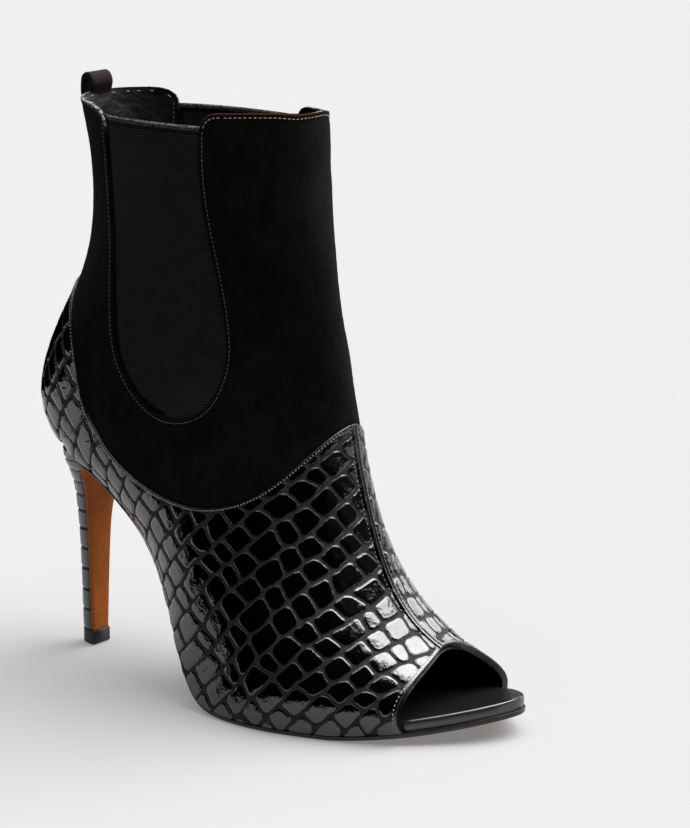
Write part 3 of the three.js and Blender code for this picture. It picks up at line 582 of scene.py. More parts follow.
def suede():
    """Black nap in soft clouds; the mesh's wear attribute is the frayed pale edge and raw the brown cut
    edge.
    """
    m, shader = material("suede", (0.003, 0.003, 0.0031), 0.95,
                         Sheen_Weight=0.012, Sheen_Roughness=0.5, Specular_IOR_Level=0.03)
    k = Nodes(m)
    place = k.place()
    cloud = k.grain(place, 16, 3, 0.55)
    nap = k.grain(place, 0.55, 5, 0.8)
    fray = k.grain(place, 1.3, 4, 0.75)
    streak = k.grain(k.place((1, 1, 0.35)), 3.5, 3, 0.7)
    tone = k.maths("ADD", k.maths("MULTIPLY", cloud, 0.6), k.maths("MULTIPLY", streak, 0.4))
    colour = k.mix(k.ramp(tone, 0.38, 0.66), NAP_DARK, NAP_MIDDLE)
    colour = k.mix(k.ramp(nap, 0.45, 0.8, 0.0, 0.6), colour, NAP_LIGHT)
    colour = k.mix(k.attribute("wear_and_rim_highlight"), colour, k.mix(k.ramp(fray, 0.42, 0.56), WORN_PALE, WORN_DARK))
    colour = k.mix(k.attribute("raw"), colour, RAW_BROWN)
    k.link(colour, shader.inputs["Base Color"])
    k.bump(shader, nap, 0.5, 0.0006)
    return m


RIB, WALE = 1.05, 1.0  # pitch of the weave's ribs, up the gore, and of its columns, along it
WEAVE_DARK, WEAVE_LIGHT = (0.0008, 0.0008, 0.00085), (0.021, 0.021, 0.0215)
WEAVE_CLOUD = (0.003, 0.003, 0.0031)
# Painted shade, and a pale painted highlight along the top rim of the gore's hem
WEAVE_SHADE, HEM_PAINTED_HIGHLIGHT = (0.0003, 0.0003, 0.0003), (0.4, 0.395, 0.39)


def elastic():
    """Woven elastic: fine ribs across, broken by columns; hem, painted shade and a painted highlight along
    the hem's top rim (the edge attribute) come from the mesh.
    """
    m, shader = material("elastic", (0.006, 0.006, 0.0062), 0.85,
                         Sheen_Weight=0.012, Sheen_Roughness=0.5, Specular_IOR_Level=0.05)
    k = Nodes(m)
    place = k.place()
    split = k.add("ShaderNodeSeparateXYZ")
    k.link(place, split.inputs[0])
    wander = k.maths("MULTIPLY", k.grain(place, 6, 2), 3.0)

    def wave(axis, pitch):
        turns = k.maths("MULTIPLY", split.outputs[axis], 2 * math.pi / pitch)
        return k.maths("SINE", k.maths("ADD", turns, wander), 0.0)

    row, wale = wave("Z", RIB), wave("X", WALE)
    thread = k.grain(k.place((1.4, 1.4, 0.8)), 0.3, 3, 0.7)
    weave = k.maths("MULTIPLY", row, k.ramp(wale, -1, 1, 0.1, 1.0))
    weave = k.maths("MULTIPLY", weave, k.ramp(k.attribute("hem"), 0, 1, 1.0, 0.15))
    light = k.maths("ADD", k.ramp(weave, -1, 1, 0, 0.5), k.maths("MULTIPLY", thread, 0.55))
    colour = k.mix(k.ramp(light, 0.25, 0.9), WEAVE_DARK, WEAVE_LIGHT)
    cloud = k.grain(place, 9, 2)
    colour = k.mix(k.ramp(cloud, 0.4, 0.75, 0.0, 0.45), colour, WEAVE_CLOUD)
    colour = k.mix(k.attribute("shade"), colour, WEAVE_SHADE)
    # Painted highlight along the hem's top rim, from the edge attribute, broken up by a grain
    wear_and_rim_highlight = k.maths("MULTIPLY", k.attribute("edge"), k.ramp(k.grain(place, 0.9, 3, 0.7), 0.4, 0.55))
    colour = k.mix(wear_and_rim_highlight, colour, HEM_PAINTED_HIGHLIGHT)
    k.link(colour, shader.inputs["Base Color"])
    k.bump(shader, weave, 0.5, 0.0002)
    k.bump(shader, thread, 0.5, 0.0004)
    return m


def lining():
    """Smooth black leather with a slow crinkle."""
    m, shader = material("lining", (0.003, 0.003, 0.0031), 0.5, Specular_IOR_Level=0.2)
    k = Nodes(m)
    place = k.place()
    crinkle = k.grain(place, 7, 3, 0.5)
    grain = k.grain(place, 0.6, 3)
    colour = k.mix(k.ramp(crinkle, 0.42, 0.7), (0.0009, 0.0009, 0.00095), (0.0032, 0.0032, 0.0033))
    k.link(colour, shader.inputs["Base Color"])
    k.bump(shader, crinkle, 0.5, 0.0022)
    k.bump(shader, grain, 0.2, 0.0003)
    return m


def plain(name, colour, rough, grain_size, low, high, strength, **inputs):
    """A material with a grain that varies its colour between two shares of itself."""
    m, shader = material(name, colour, rough, **inputs)
    k = Nodes(m)
    grain = k.grain(k.place(), grain_size, 4, 0.6)
    dark = tuple(c * low for c in colour)
    light = tuple(c * high for c in colour)
    k.link(k.mix(k.ramp(grain, 0.3, 0.7), dark, light), shader.inputs["Base Color"])
    k.bump(shader, grain, strength, 0.0005)
    return m


PATENT, SUEDE, ELASTIC, LINING = patent_leather(), suede(), elastic(), lining()
INSOLE = plain("insole_satin", (0.0028, 0.0028, 0.003), 0.27, 1.2, 0.8, 1.25, 0.06, Specular_IOR_Level=1.0)
# The insole's sides: the same satin leather as its top, painted lighter as a sheen
INSOLE_SIDE_PAINTED_SHEEN = plain("insole_side_painted_sheen", (0.016, 0.016, 0.0165), 0.2, 0.8, 0.75, 1.3, 0.12,
                    Specular_IOR_Level=0.8)
TAN = plain("sole_leather", (0.30, 0.082, 0.013), 0.5, 5, 0.88, 1.1, 0.05, Specular_IOR_Level=0.06)
SOLE_EDGE = plain("sole_edge", (0.0015, 0.0015, 0.0016), 0.22, 1.5, 0.8, 1.3, 0.1)
RUBBER = plain("rubber", (0.003, 0.003, 0.0032), 0.55, 0.9, 0.75, 1.35, 0.2)
STRAP = plain("strap_leather", (0.0062, 0.0029, 0.0025), 0.75, 0.9, 0.1, 2.6, 0.8, Specular_IOR_Level=0.1)
THREAD_PALE = plain("thread_pale", (0.24, 0.22, 0.205), 0.7, 0.3, 0.7, 1.3, 0.2)
THREAD_DARK = plain("thread_dark", (0.07, 0.066, 0.063), 0.6, 0.3, 0.7, 1.3, 0.2)
THREAD_BROWN = plain("thread_brown", (0.26, 0.19, 0.155), 0.7, 0.3, 0.7, 1.3, 0.2)


# The embossed tiles
def flatten(p, out, turns=500):
    """Lays a coarse grid of 3D points out flat with little stretch; it starts from the ridge seen
    from the side, with every section laid straight from there."""
    lean = p[:, -1:, [0, 2]] - p[:, :1, [0, 2]]
    lean /= np.linalg.norm(lean, axis=2, keepdims=True)
    flat = p[:, :1, [0, 2]] + lean * out[..., None]
    whole = slice(None)
    low, high = slice(None, -1), slice(1, None)
    pairs = [((low, whole), (high, whole)), ((whole, low), (whole, high)),
             ((low, low), (high, high)), ((low, high), (high, low))]
    want = [np.linalg.norm(p[b] - p[a], axis=-1) for a, b in pairs]
    for _ in range(turns):
        move, count = np.zeros_like(flat), np.zeros(flat.shape[:2])
        for (a, b), length in zip(pairs, want):
            d = flat[b] - flat[a]
            now = np.linalg.norm(d, axis=-1) + 1e-9
            pull = d * (0.5 * (now - length) / now)[..., None]
            move[a] += pull
            move[b] -= pull
            count[a] += 1
            count[b] += 1
        flat += 1.3 * move / count[..., None]
    return flat


def spread(coarse, rows, cols, shape):
    """Bilinear values on the full grid from values at some of its rows and columns."""
    every_row, every_col = np.arange(shape[0]), np.arange(shape[1])
    part = np.stack([[np.interp(every_row, rows, coarse[:, j, k]) for j in range(len(cols))]
                     for k in range(coarse.shape[2])], -1)
    part = np.moveaxis(part, 0, 1)
    return np.stack([[np.interp(every_col, cols, part[i, :, k]) for i in range(shape[0])]
                     for k in range(coarse.shape[2])], -1)


CORNER = 2.7  # radius of the tiles' corners
WANDER, SLANT, COURSE_SHIFT = 0.2, 0.24, 0.45  # how far the creases stray, in shares of a tile


def tile_depth(row, place, row_size, tile_size, seed):
    """Distance in mm from the nearest crease of a wall of tiles; row counts the courses and place
    the tiles along them. Every course is shifted, and the creases that cross it wander and lean."""
    rng = np.random.default_rng(seed)
    shift, wander = rng.uniform(-0.5, 0.5, 257), rng.uniform(-WANDER, WANDER, 2039)
    slant = rng.uniform(-SLANT, SLANT, 2039)
    course = np.floor(row)
    within = row - course
    to_row = np.minimum(within, 1 - within) * row_size
    place = place + shift[course.astype(int) % 257] * COURSE_SHIFT + 0.5 * (course % 2)
    nearest = np.full(len(row), 1e9)
    tile = np.floor(place)
    for k in (-1, 0, 1, 2):
        which = ((tile + k) * 89 + course * 613).astype(int) % 2039
        border = tile + k + wander[which] + slant[which] * (within - 0.5)
        nearest = np.minimum(nearest, np.abs(place - border) * tile_size)
    corner = CORNER - np.hypot(CORNER - np.minimum(nearest, CORNER), CORNER - np.minimum(to_row, CORNER))
    return np.where((nearest < CORNER) & (to_row < CORNER), corner, np.minimum(nearest, to_row))


# Size of the tiles in mm: across the courses, counted down and forwards, and along them
DOWN_SIZES = natural([-110, -60, 0, 45, 80, 120], [12.5, 12.5, 10.2, 10.0, 9.2, 8.2])
UP_SIZES = natural([20, 70, 100, 130, 165, 200], [10.5, 11.0, 10.0, 9.0, 8.8, 8.4])


def phase(sizes, low, high):
    """Counts tiles along a diagonal."""
    at = np.linspace(low, high, 600)
    count = np.concatenate([[0], np.cumsum((at[1] - at[0]) / sizes((at[1:] + at[:-1]) / 2))])
    return lambda q: np.interp(q, at, count)


down_phase, up_phase = phase(DOWN_SIZES, -170, 190), phase(UP_SIZES, -40, 260)
TILE_TURN = math.radians(45)
UPPER_ROWS = 17.9
# The embossing: height of the pads, their crown, the flat that they stand on, the creases' groove
EMBOSS, CROWN, SINK, GROOVE = 0.5, 0.08, 0.1, 0.08
# The folded edges at the suede and at the peep opening: widths, height and the groove beside them
SUEDE_FOLD, PEEP_FOLD, FOLD_HEIGHT, FOLD_GROOVE = 0.95, 1.3, 0.36, 0.16
FOLD_DEPTH = 0.66  # depth at which the patent leather is drawn half way between crease and pad
# The raised seam down the middle of the vamp: half its width, its height, the split along it
SEAM_HALF, SEAM_HEIGHT, SEAM_SPLIT, SPLIT_HALF = 1.2, 0.95, 0.55, 0.28
UPPER_RIM = [(0.22, -0.12), (0.3, -0.45), (0.2, -1.2), (0, -2.5)]


def stretch_back(x):
    """Spreads the pattern's x over the counter, so that its diamonds stand tall there."""
    at = np.linspace(-150, 60, 421)
    extra = 0.45 * (1 - smoothstep(at, 12, 45)) * (at[1] - at[0])
    return x - np.interp(x, at, np.cumsum(extra[::-1])[::-1], right=0)


def laid_flat(patch):
    """Every point of a patch laid out flat, worked out on a coarse grid of them."""
    rows = np.unique(np.linspace(0, patch.shape[0] - 1, 60).astype(int))
    cols = np.unique(np.linspace(0, patch.shape[1] - 1, 26).astype(int))
    part = np.ix_(rows, cols)
    flat = flatten(patch.p[part], patch.out[part])
    return spread(flat, rows, cols, patch.shape).reshape(-1, 2)


def tiles(patch, p, side):
    """Distance in mm of every point of a patch from the nearest crease."""
    flat = laid_flat(patch)
    for far, scales, seeds in ((2.2, (26, 24), (5, 9)), (0.95, (7, 7), (15, 19))):
        stray = [noise(p, scale, seed + side) for scale, seed in zip(scales, seeds)]
        flat = flat + far * np.stack(stray, -1)
    flat[:, 0] = stretch_back(flat[:, 0])
    cos, sin = math.cos(TILE_TURN), math.sin(TILE_TURN)
    down = flat[:, 0] * cos - flat[:, 1] * sin
    up = flat[:, 0] * sin + flat[:, 1] * cos
    depth = tile_depth(down_phase(down), up_phase(up), DOWN_SIZES(down), UP_SIZES(up), 20 + side)
    across = patch.shape[1]
    to_foot = np.repeat(patch.girth, across) - patch.out.reshape(-1)
    over_seat = np.repeat(patch.rows, across) > SEAT_ROW - 0.3
    depth = np.minimum(depth, np.where(over_seat, to_foot, FAR))
    return depth + 0.10 * noise(p, 1.6, 44)


def croc(side, spacing, across):
    """One half of the upper, with its tiles, folded edges and centre seam."""
    patch = Patch(side, (0.0, UPPER_ROWS), across, 0, spacing)
    p, n, quads = patch.flat()
    depth = tiles(patch, p, side)
    pad = smoothstep(depth, 0.25, 1.05)
    height = EMBOSS * pad + CROWN * smoothstep(depth, 0.8, 3.4) - SINK
    height -= GROOVE * np.exp(-(depth / 0.2) ** 2)
    height += 0.05 * noise(p, 1.1, 55) * (1 - pad)
    top, toe = below_upper_edge(p), behind_peep(p)
    for f, wide in ((top, SUEDE_FOLD), (toe, PEEP_FOLD)):
        fold = 1 - smoothstep(f, wide - 0.35, wide + 0.25)
        groove = np.exp(-((f - wide - 0.3) / 0.3) ** 2)
        height = height * (1 - fold) + FOLD_HEIGHT * fold - FOLD_GROOVE * groove
        depth = depth * (1 - fold) + FOLD_DEPTH * fold
        depth = depth * (1 - 0.7 * groove)
    out = patch.out.reshape(-1)
    ridge = 1 - smoothstep(out, SEAM_HALF, SEAM_HALF + 0.7)
    height = height * (1 - ridge) + ridge * (SEAM_HEIGHT - SEAM_SPLIT * np.exp(-(out / SPLIT_HALF) ** 2))
    height -= 0.25 * np.exp(-((out - SEAM_HALF - 1) / 0.35) ** 2)
    depth = depth * (1 - ridge) + ridge * np.where(out > SPLIT_HALF + 0.07, 0.75, 0.2)
    moved = p + n * height[:, None]
    keep_at = lambda q: np.minimum(below_upper_edge(q), behind_peep(q))
    (moved, n, depth), faces, edges = clip([moved, n, depth], quads, np.minimum(top, toe))
    extra, strips = rim(moved, n, edges, keep_at, UPPER_RIM)
    points = np.concatenate([moved, extra])
    depth = np.concatenate([depth, np.full(len(extra), 0.6)])
    strips = strips if side < 0 else [strip[::-1] for strip in strips]
    (points, depth), faces = drop_unused([points, depth], faces + strips)
    name = "upper_lateral" if side < 0 else "upper_medial"
    add_mesh(name, points, faces, PATENT, ("upper",), {"depth": depth})
    return patch


croc_patch = {-1: croc(-1, 0.52, 200),
              1: croc(1, 0.6, 170)}


# The suede shaft
FOLDS = [  # x, z, lean of the trough in degrees, length, width, depth: soft folds, lateral then medial
    (-1, 22, 118, 80, 22, 5, 0.35), (-1, 102, 150, 60, 26, 6, 0.35), (-1, 70, 96, 8, 34, 6, 0.3),
    (-1, 105, 190, 85, 30, 7, 0.3), (-1, 18, 165, 95, 30, 5, 0.25), (1, 96, 140, 60, 26, 6, 0.35),
    (1, 20, 120, 80, 22, 5, 0.35), (1, 70, 96, 5, 30, 6, 0.3), (1, 104, 185, 85, 30, 7, 0.3)]


SUEDE_RIM = [(0.12, -0.12), (0.2, -0.5), (0.15, -1.1), (0, -1.7)]
RAW_FADE, WORN_FADE = (1.0, 0.3, 0.0, 0.0), (1.0, 0.9, 0.6, 0.1)  # ring by ring over the cut edge
RAW_SHARE, FRONT_WORN = {-1: 0.6, 1: 0.1}, {-1: 0.0, 1: 0.6}
PANELS_SPLIT = 60.0  # x that parts the back panel from the front one
SUEDE_TUCK = 3.0  # how far the suede runs on under the upper


def edge_wear(side, spots):
    """Raw and wear shares of the cut edge's rings at places along it."""
    up, front = spots[:, 2], spots[:, 0] > PANELS_SPLIT
    at_front = np.where(front & (up > 224), 1.0, 0.0)
    at_back = np.where(~front, smoothstep(up, 222, 228) * 0.9, 0.0)
    raw = [at_front * fade * RAW_SHARE[side] for fade in RAW_FADE]
    wear_and_rim_highlight = [at_back * fade + at_front * FRONT_WORN[side] * fade for fade in WORN_FADE]
    return np.concatenate(raw), np.concatenate(wear_and_rim_highlight)


def shaft(side):
    """One half of the suede leg, with its soft folds and its cut edge round the collar."""
    patch = Patch(side, (4.0, LAST_ROW), 120, SUEDE_STEP, 1.0)
    p, n, quads = patch.flat()
    collar = below_collar(side)
    cut, seam, up = collar(p), below_upper_edge(p), p[:, 2]
    height = 0.10 * noise(p, 1.4, 71) + 0.25 * noise(p, 17, 73)
    for which, x, z, lean, long, wide, deep in FOLDS:
        if which == side:
            c, s = math.cos(math.radians(lean)), math.sin(math.radians(lean))
            dx, dz = p[:, 0] - x, up - z
            height -= deep * np.exp(-((dx * c + dz * s) / long) ** 2 - ((dz * c - dx * s) / wide) ** 2)
    height -= 0.16 * np.exp(-((cut - 2.6) / 1.1) ** 2)
    height -= 0.5 * smoothstep(seam, -1.6, 0.6)
    moved = p + n * height[:, None]
    keep_at = lambda q: np.minimum(collar(q), SUEDE_TUCK - below_upper_edge(q))
    wear_and_rim_highlight = np.exp(-np.maximum(cut, 0) / 0.5) * smoothstep(up, 222, 229) * (p[:, 0] < PANELS_SPLIT)
    wear_and_rim_highlight = np.clip(wear_and_rim_highlight * (0.75 + 0.8 * noise(p, 2.5, 77)), 0, 1)
    raw = np.exp(-np.maximum(cut, 0) / 0.28) * smoothstep(up, 228, 231) * (p[:, 0] > PANELS_SPLIT) * 0.3
    keep = np.minimum(cut, SUEDE_TUCK - seam)
    (moved, n, wear_and_rim_highlight, raw), faces, edges = clip([moved, n, wear_and_rim_highlight, raw], quads, keep)
    edges = [edge for edge in edges if moved[edge[0], 2] > 60]
    extra, strips = rim(moved, n, edges, keep_at, SUEDE_RIM)
    strips = strips if side < 0 else [strip[::-1] for strip in strips]
    rim_raw, rim_worn = edge_wear(side, moved[sorted({i for edge in edges for i in edge})])
    points = np.concatenate([moved, extra])
    wear_and_rim_highlight, raw = np.concatenate([wear_and_rim_highlight, rim_worn]), np.concatenate([raw, rim_raw])
    (points, wear_and_rim_highlight, raw), faces = drop_unused([points, wear_and_rim_highlight, raw], faces + strips)
    name = "shaft_lateral" if side < 0 else "shaft_medial"
    add_mesh(name, points, faces, SUEDE, ("shaft",), {"wear_and_rim_highlight": wear_and_rim_highlight, "raw": raw})
    return patch


shaft_patch = {-1: shaft(-1), 1: shaft(1)}


# The lining, from the peep opening to the collar
def inner(side):
    """One half of the lining that lies against the upper and the shaft."""
    patch = Patch(side, (0.0, LAST_ROW), 90, WALL, 1.5)
    p, n, quads = patch.flat()
    moved = p + n * 0.18 * noise(p, 5, 81, 3)[:, None]
    keep = np.minimum(below_collar(side)(p), behind_peep(p))
    (moved,), faces, _ = clip([moved], quads, keep)
    (moved,), faces = drop_unused([moved], [face[::-1] for face in faces])
    name = "lining_lateral" if side < 0 else "lining_medial"
    add_mesh(name, moved, faces, LINING)


inner(-1)
inner(1)


def locate(side, spots, inset):
    """Points and normals of the surface at places of its side view, and which of them lie on it."""
    rows, turns = np.linspace(0, LAST_ROW, 160), np.linspace(0.01, 0.99, 70)
    coarse = surface(rows[:, None], side * turns[None], inset)
    tree = KDTree(coarse.shape[0] * coarse.shape[1])
    for i, (x, _, z) in enumerate(coarse.reshape(-1, 3).tolist()):
        tree.insert((x, 0, z), i)
    tree.balance()
    nearest = np.array([tree.find((x, 0, z))[1] for x, z in spots.tolist()])
    row, turn = rows[nearest // len(turns)], turns[nearest % len(turns)]
    step = 1e-3
    for _ in range(8):
        here = surface(row, side * turn, inset)
        by_r = (surface(row + step, side * turn, inset) - here) / step
        by_t = (surface(row, side * (turn + step), inset) - here) / step
        error = spots - here[:, [0, 2]]
        area = by_r[:, 0] * by_t[:, 2] - by_r[:, 2] * by_t[:, 0]
        area = np.where(np.abs(area) < 1e-3, 1e-3, area)
        dr = (error[:, 0] * by_t[:, 2] - error[:, 1] * by_t[:, 0]) / area
        dt = (by_r[:, 0] * error[:, 1] - by_r[:, 2] * error[:, 0]) / area
        row = np.clip(row + np.clip(dr, -0.3, 0.3), 0, LAST_ROW)
        turn = np.clip(turn + np.clip(dt, -0.05, 0.05), 1e-3, 0.999)
    here = surface(row, side * turn, inset)
    normal = np.cross(by_r, by_t)
    normal /= np.linalg.norm(normal, axis=1, keepdims=True) + 1e-9
    normal *= np.where(normal[:, 1:2] * side < 0, -1, 1)
    return here, normal, np.hypot(*(spots - here[:, [0, 2]]).T) < 0.3


# The elastic gores
GORE_STEPS = (0.6, 0.5)  # the grid's spacing along and up
GORE_TUCK = 1.3  # how far the elastic runs on behind the window's edge
HEM_WIDE, HEM_RISE = 2.3, 0.42
HEM_RIM = [(0.15, -0.15), (0.2, -0.45), (0.0, -1.0)]


def gore_relief(p, inside, below, back):
    """Height of the elastic's face, and its hem, painted shade and edge attributes; edge is a painted
    highlight along the hem's top rim. inside is the distance from the window's edge, below the depth under
    the gore's top, back the gore's rear half."""
    hem = 1 - smoothstep(below, HEM_WIDE, HEM_WIDE + 0.5)
    height = HEM_RISE * hem - 0.35 * np.exp(-((below - HEM_WIDE - 0.6) / 0.35) ** 2)
    height += 0.05 * noise(p, 0.9, 93) + 0.35 * noise(p * [1, 1, 0.6], 20, 95)
    height -= 0.25 * hem * (1 - smoothstep(below, 0, 0.7))
    height -= 0.35 * np.where(back, 1 - smoothstep(inside, 0.8, 2.6), 0)
    shade = np.where(back, 1 - smoothstep(inside, 1.2, 2.6), 0.8 * (1 - smoothstep(inside, 0.2, 1.0)))
    shade = np.maximum(shade, 0.9 * np.exp(-((below - HEM_WIDE - 0.6) / 0.3) ** 2))
    # edge: a painted highlight along the hem's top rim and a fainter painted line 1.7 mm below it
    edge = 0.85 * (1 - smoothstep(below, 0.2, 1.0)) + 0.12 * np.exp(-((below - 1.7) / 0.3) ** 2)
    return height, np.stack([hem, shade, edge], -1)


def gore(side):
    """The elastic in one window: an outer and an inner face, joined over the hem."""
    window, top = gore_edge(side), gore_top(side)
    line = np.concatenate([[(window[0, 0], FAR)], window, [(window[-1, 0], FAR)]])
    first, last = window[:, 0].min(), window[:, 0].max()
    xs = np.arange(first - 2, last + 2.01, GORE_STEPS[0])
    zs = np.arange(window[:, 1].min() - 2, top + 0.3, GORE_STEPS[1])
    grid = np.stack(np.meshgrid(xs, zs), -1)
    p, n, good = locate(side, grid.reshape(-1, 2), GORE_FACE)
    p[:, [0, 2]] = np.where(good[:, None], p[:, [0, 2]], grid.reshape(-1, 2))
    index = np.arange(len(zs) * len(xs)).reshape(len(zs), len(xs))
    quads = np.stack([index[:-1, :-1], index[:-1, 1:], index[1:, 1:], index[1:, :-1]], -1).reshape(-1, 4)
    if side > 0:
        quads = quads[:, ::-1]
    inside, below = -side_of(p[:, [0, 2]], line), top - p[:, 2]
    height, relief = gore_relief(p, inside, below, p[:, 0] < (first + last) / 2)
    keep = np.minimum(inside + GORE_TUCK, below)
    keep_at = lambda r: np.minimum(GORE_TUCK - side_of(r[:, [0, 2]], line), top - r[:, 2])
    points, fields, faces_all = [], [], []
    for depth, turned in ((0.0, False), (GORE_WALL - 0.4, True)):
        q = p + n * ((-height if turned else height) - depth)[:, None]
        (q, m, values), faces, edges = clip([q, n, relief], quads, keep)
        if turned:
            faces = [face[::-1] for face in faces]
        else:
            edges = [edge for edge in edges if q[edge[0], 2] > top - 1]
            extra, strips = rim(q, m, edges, keep_at, HEM_RIM)
            q = np.concatenate([q, extra])
            # The hem's rim strip: full hem, no painted shade, most of the painted rim highlight
            values = np.concatenate([values, np.tile([1, 0, 0.8], (len(extra), 1))])
            faces = faces + (strips if side < 0 else [strip[::-1] for strip in strips])
        (q, values), faces = drop_unused([q, values], faces)
        start = sum(len(part) for part in points)
        faces_all += [[i + start for i in face] for face in faces]
        points.append(q)
        fields.append(values)
    hem, shade, edge = np.concatenate(fields).T
    which = "lateral" if side < 0 else "medial"
    add_mesh("elastic_" + which, np.concatenate(points), faces_all, ELASTIC, ("gore_" + which,),
             {"hem": hem, "shade": shade, "edge": edge})


gore(-1)
gore(1)


# The bottom: insole, outsole, heel, breast and top lift
def loft(rings, close=True):
    """Quads between rings that all have the same count, with a fan on each end."""
    rings = np.asarray(rings)
    count, width = rings.shape[:2]
    points = rings.reshape(-1, 3)
    faces = []
    for r in range(count - 1):
        for i in range(width):
            a, b = r * width + i, r * width + (i + 1) % width
            faces.append([a, b, b + width, a + width])
    if close:
        points = np.concatenate([points, rings[0].mean(axis=0)[None], rings[-1].mean(axis=0)[None]])
        hub = len(points) - 2
        last = (count - 1) * width
        for i in range(width):
            faces.append([hub, (i + 1) % width, i])
            faces.append([hub + 1, last + i, last + (i + 1) % width])
    return points, faces


def facing_out(points, faces):
    """Turns the faces of a closed form outwards."""
    volume = 0
    for f in faces:
        for k in range(1, len(f) - 1):
            volume += np.dot(points[f[0]], np.cross(points[f[k]], points[f[k + 1]]))
    return faces if volume > 0 else [f[::-1] for f in faces]


def stations(margin, low=X_SEAT, high=X_TIP, count=190):
    """Places along the sole, closer together where its ends close."""
    t = (1 - np.cos(np.linspace(0, math.pi, count))) / 2
    return low + margin + 0.01 + t * (high - low - 2 * margin - 0.02)


INSOLE_THICK, INSOLE_ROUND, INSOLE_DISH, INSOLE_BULGE = 4.6, 1.6, 0.35, 0.12
TOE_MARGIN, INNER_MARGIN = 0.9, 2.6  # the insole's distance from the outline, at the open toe and behind
LATERAL_STEP, MEDIAL_STEP = (171, 176), (182, 190)  # x between which the margin changes


def insole():
    """The covered insole: round at its edges, a little dished, full width where the toe is open."""
    rings = []
    quarter = np.linspace(0, math.pi / 2, 6)
    for x in stations(TOE_MARGIN):
        c, f = float(centre_at(x)), float(feather_at(x))
        behind = (INNER_MARGIN - TOE_MARGIN) * float(open_from(x - X_SEAT - TOE_MARGIN, 12))
        l, m = [max(float(half_at(x, TOE_MARGIN)) - behind * (1 - float(smoothstep(x, *step))), 0.01)
                for step in (LATERAL_STEP, MEDIAL_STEP)]
        up = f + INSOLE_THICK - INSOLE_ROUND * (1 - np.sin(quarter))
        inwards = 1 - np.cos(quarter)
        left = c - l + min(INSOLE_ROUND, l) * inwards
        right = c + m - min(INSOLE_ROUND, m) * inwards
        middle = f + 0.4 * INSOLE_THICK
        ring = [(x, c - l, f), (x, c - l - INSOLE_BULGE * (l > 1), middle)]
        ring += [(x, y, z) for y, z in zip(left, up)]
        for share in (0.6, 0.25, 0, -0.25, -0.6):
            y = c - l * max(share, 0) * 0.8 - m * min(share, 0) * 0.8
            ring.append((x, y, f + INSOLE_THICK - INSOLE_DISH * (1 - share ** 2) * min(1, l / 10)))
        ring += [(x, y, z) for y, z in zip(right[::-1], up[::-1])]
        ring += [(x, c + m + INSOLE_BULGE * (m > 1), middle), (x, c + m, f), (x, c, f)]
        rings.append(ring)
    points, faces = loft(rings)
    piece = add_mesh("insole_cover", points, facing_out(points, faces), [INSOLE, INSOLE_SIDE_PAINTED_SHEEN],
                     ("insole",))
    # Steep faces take the lighter copy of the insole leather, a painted sheen
    for polygon in piece.data.polygons:
        if abs(polygon.normal.z) < 0.45:
            polygon.material_index = 1


SOLE_START, SOLE_BEVEL = 10.6, 0.45


def outsole():
    """The leather sole: a black edge and a tan underside, from the arch to the toe."""
    rings = []
    for x in stations(0.4, low=SOLE_START):
        c, f, h = float(centre_at(x)), float(feather_at(x)), max(float(half_at(x, 0.4)), 0.01)
        bevel = min(SOLE_BEVEL, h)
        edge = [(bevel, 0.3), (0.12, 0.42), (0, 0.75), (0, 1.85), (0.12, 2.12), (bevel, 2.3)]
        ring = [(x, c - h + step, f - down) for step, down in edge[::-1]] + [(x, c, f - 0.3)]
        ring += [(x, c + h - step, f - down) for step, down in edge] + [(x, c, f - 2.3)]
        rings.append(ring)
    points, faces = loft(rings)
    points[:, 2] = np.maximum(points[:, 2], 0)
    width = len(rings[0])
    piece = add_mesh("outsole_leather", points, facing_out(points, faces), [SOLE_EDGE, TAN],
                     ("outsole",))
    for k in range((len(rings) - 1) * width):
        if k % width >= width - 2:
            piece.data.polygons[k].material_index = 1


insole()
outsole()

HEEL_BASE, HEEL_TOP = 6.3, 91.5
TIP_DEPTH, TIP_WIDTH = 8.6, 9.4
TIP_FRONT = TIP_DEPTH * 0.3
heel_up = HEEL_BASE + HEEL[:, 0] * (SEAT_HEIGHT - HEEL_BASE)
heel_back = natural(heel_up, TIP_FRONT - TIP_DEPTH + (X_SEAT + 0.65 - TIP_FRONT + TIP_DEPTH) * HEEL[:, 1])
heel_front = natural(heel_up, TIP_FRONT + (X_SEAT + 24 - TIP_FRONT) * HEEL[:, 2])
seat_half = float(half_at(X_SEAT + SEAT_ROUND, 1.3))
heel_width = natural(heel_up, TIP_WIDTH / 2 + (seat_half - TIP_WIDTH / 2) * HEEL[:, 3])
heel_square = natural(heel_up, HEEL[:, 4])
HEEL_TILES = np.array([6.3, 15.2, 24.0, 33.2, 42.0, 50.6, 58.4, 65.4, 71.6, 77.2, 82.4, 88.0])  # creases
HEEL_PAD, HEEL_CROWN, HEEL_SINK = 0.42, 0.1, 0.32
BREAST_DEPTH = 1.3


def around_heel(levels, turns):
    """Points and normals round the back of the heel, from one edge of its breast to the other."""
    front = heel_front(levels) - BREAST_DEPTH
    depth = front - heel_back(levels)
    power = 2 / heel_square(levels)
    cos, sin = np.cos(turns), np.maximum(0, np.sin(turns))
    y = np.sign(cos)[None] * np.abs(cos)[None] ** power[:, None] * heel_width(levels)[:, None]
    x = front[:, None] - sin[None] ** power[:, None] * depth[:, None]
    p = np.stack([x, y, np.repeat(levels[:, None], len(turns), 1)], -1)
    n = np.cross(np.gradient(p, axis=1), np.gradient(p, axis=0))
    n /= np.linalg.norm(n, axis=2, keepdims=True) + 1e-9
    middle = np.stack([front - depth * 0.4, 0 * front, levels], -1)[:, None]
    return p, n if (n * (p - middle)).sum() > 0 else -n


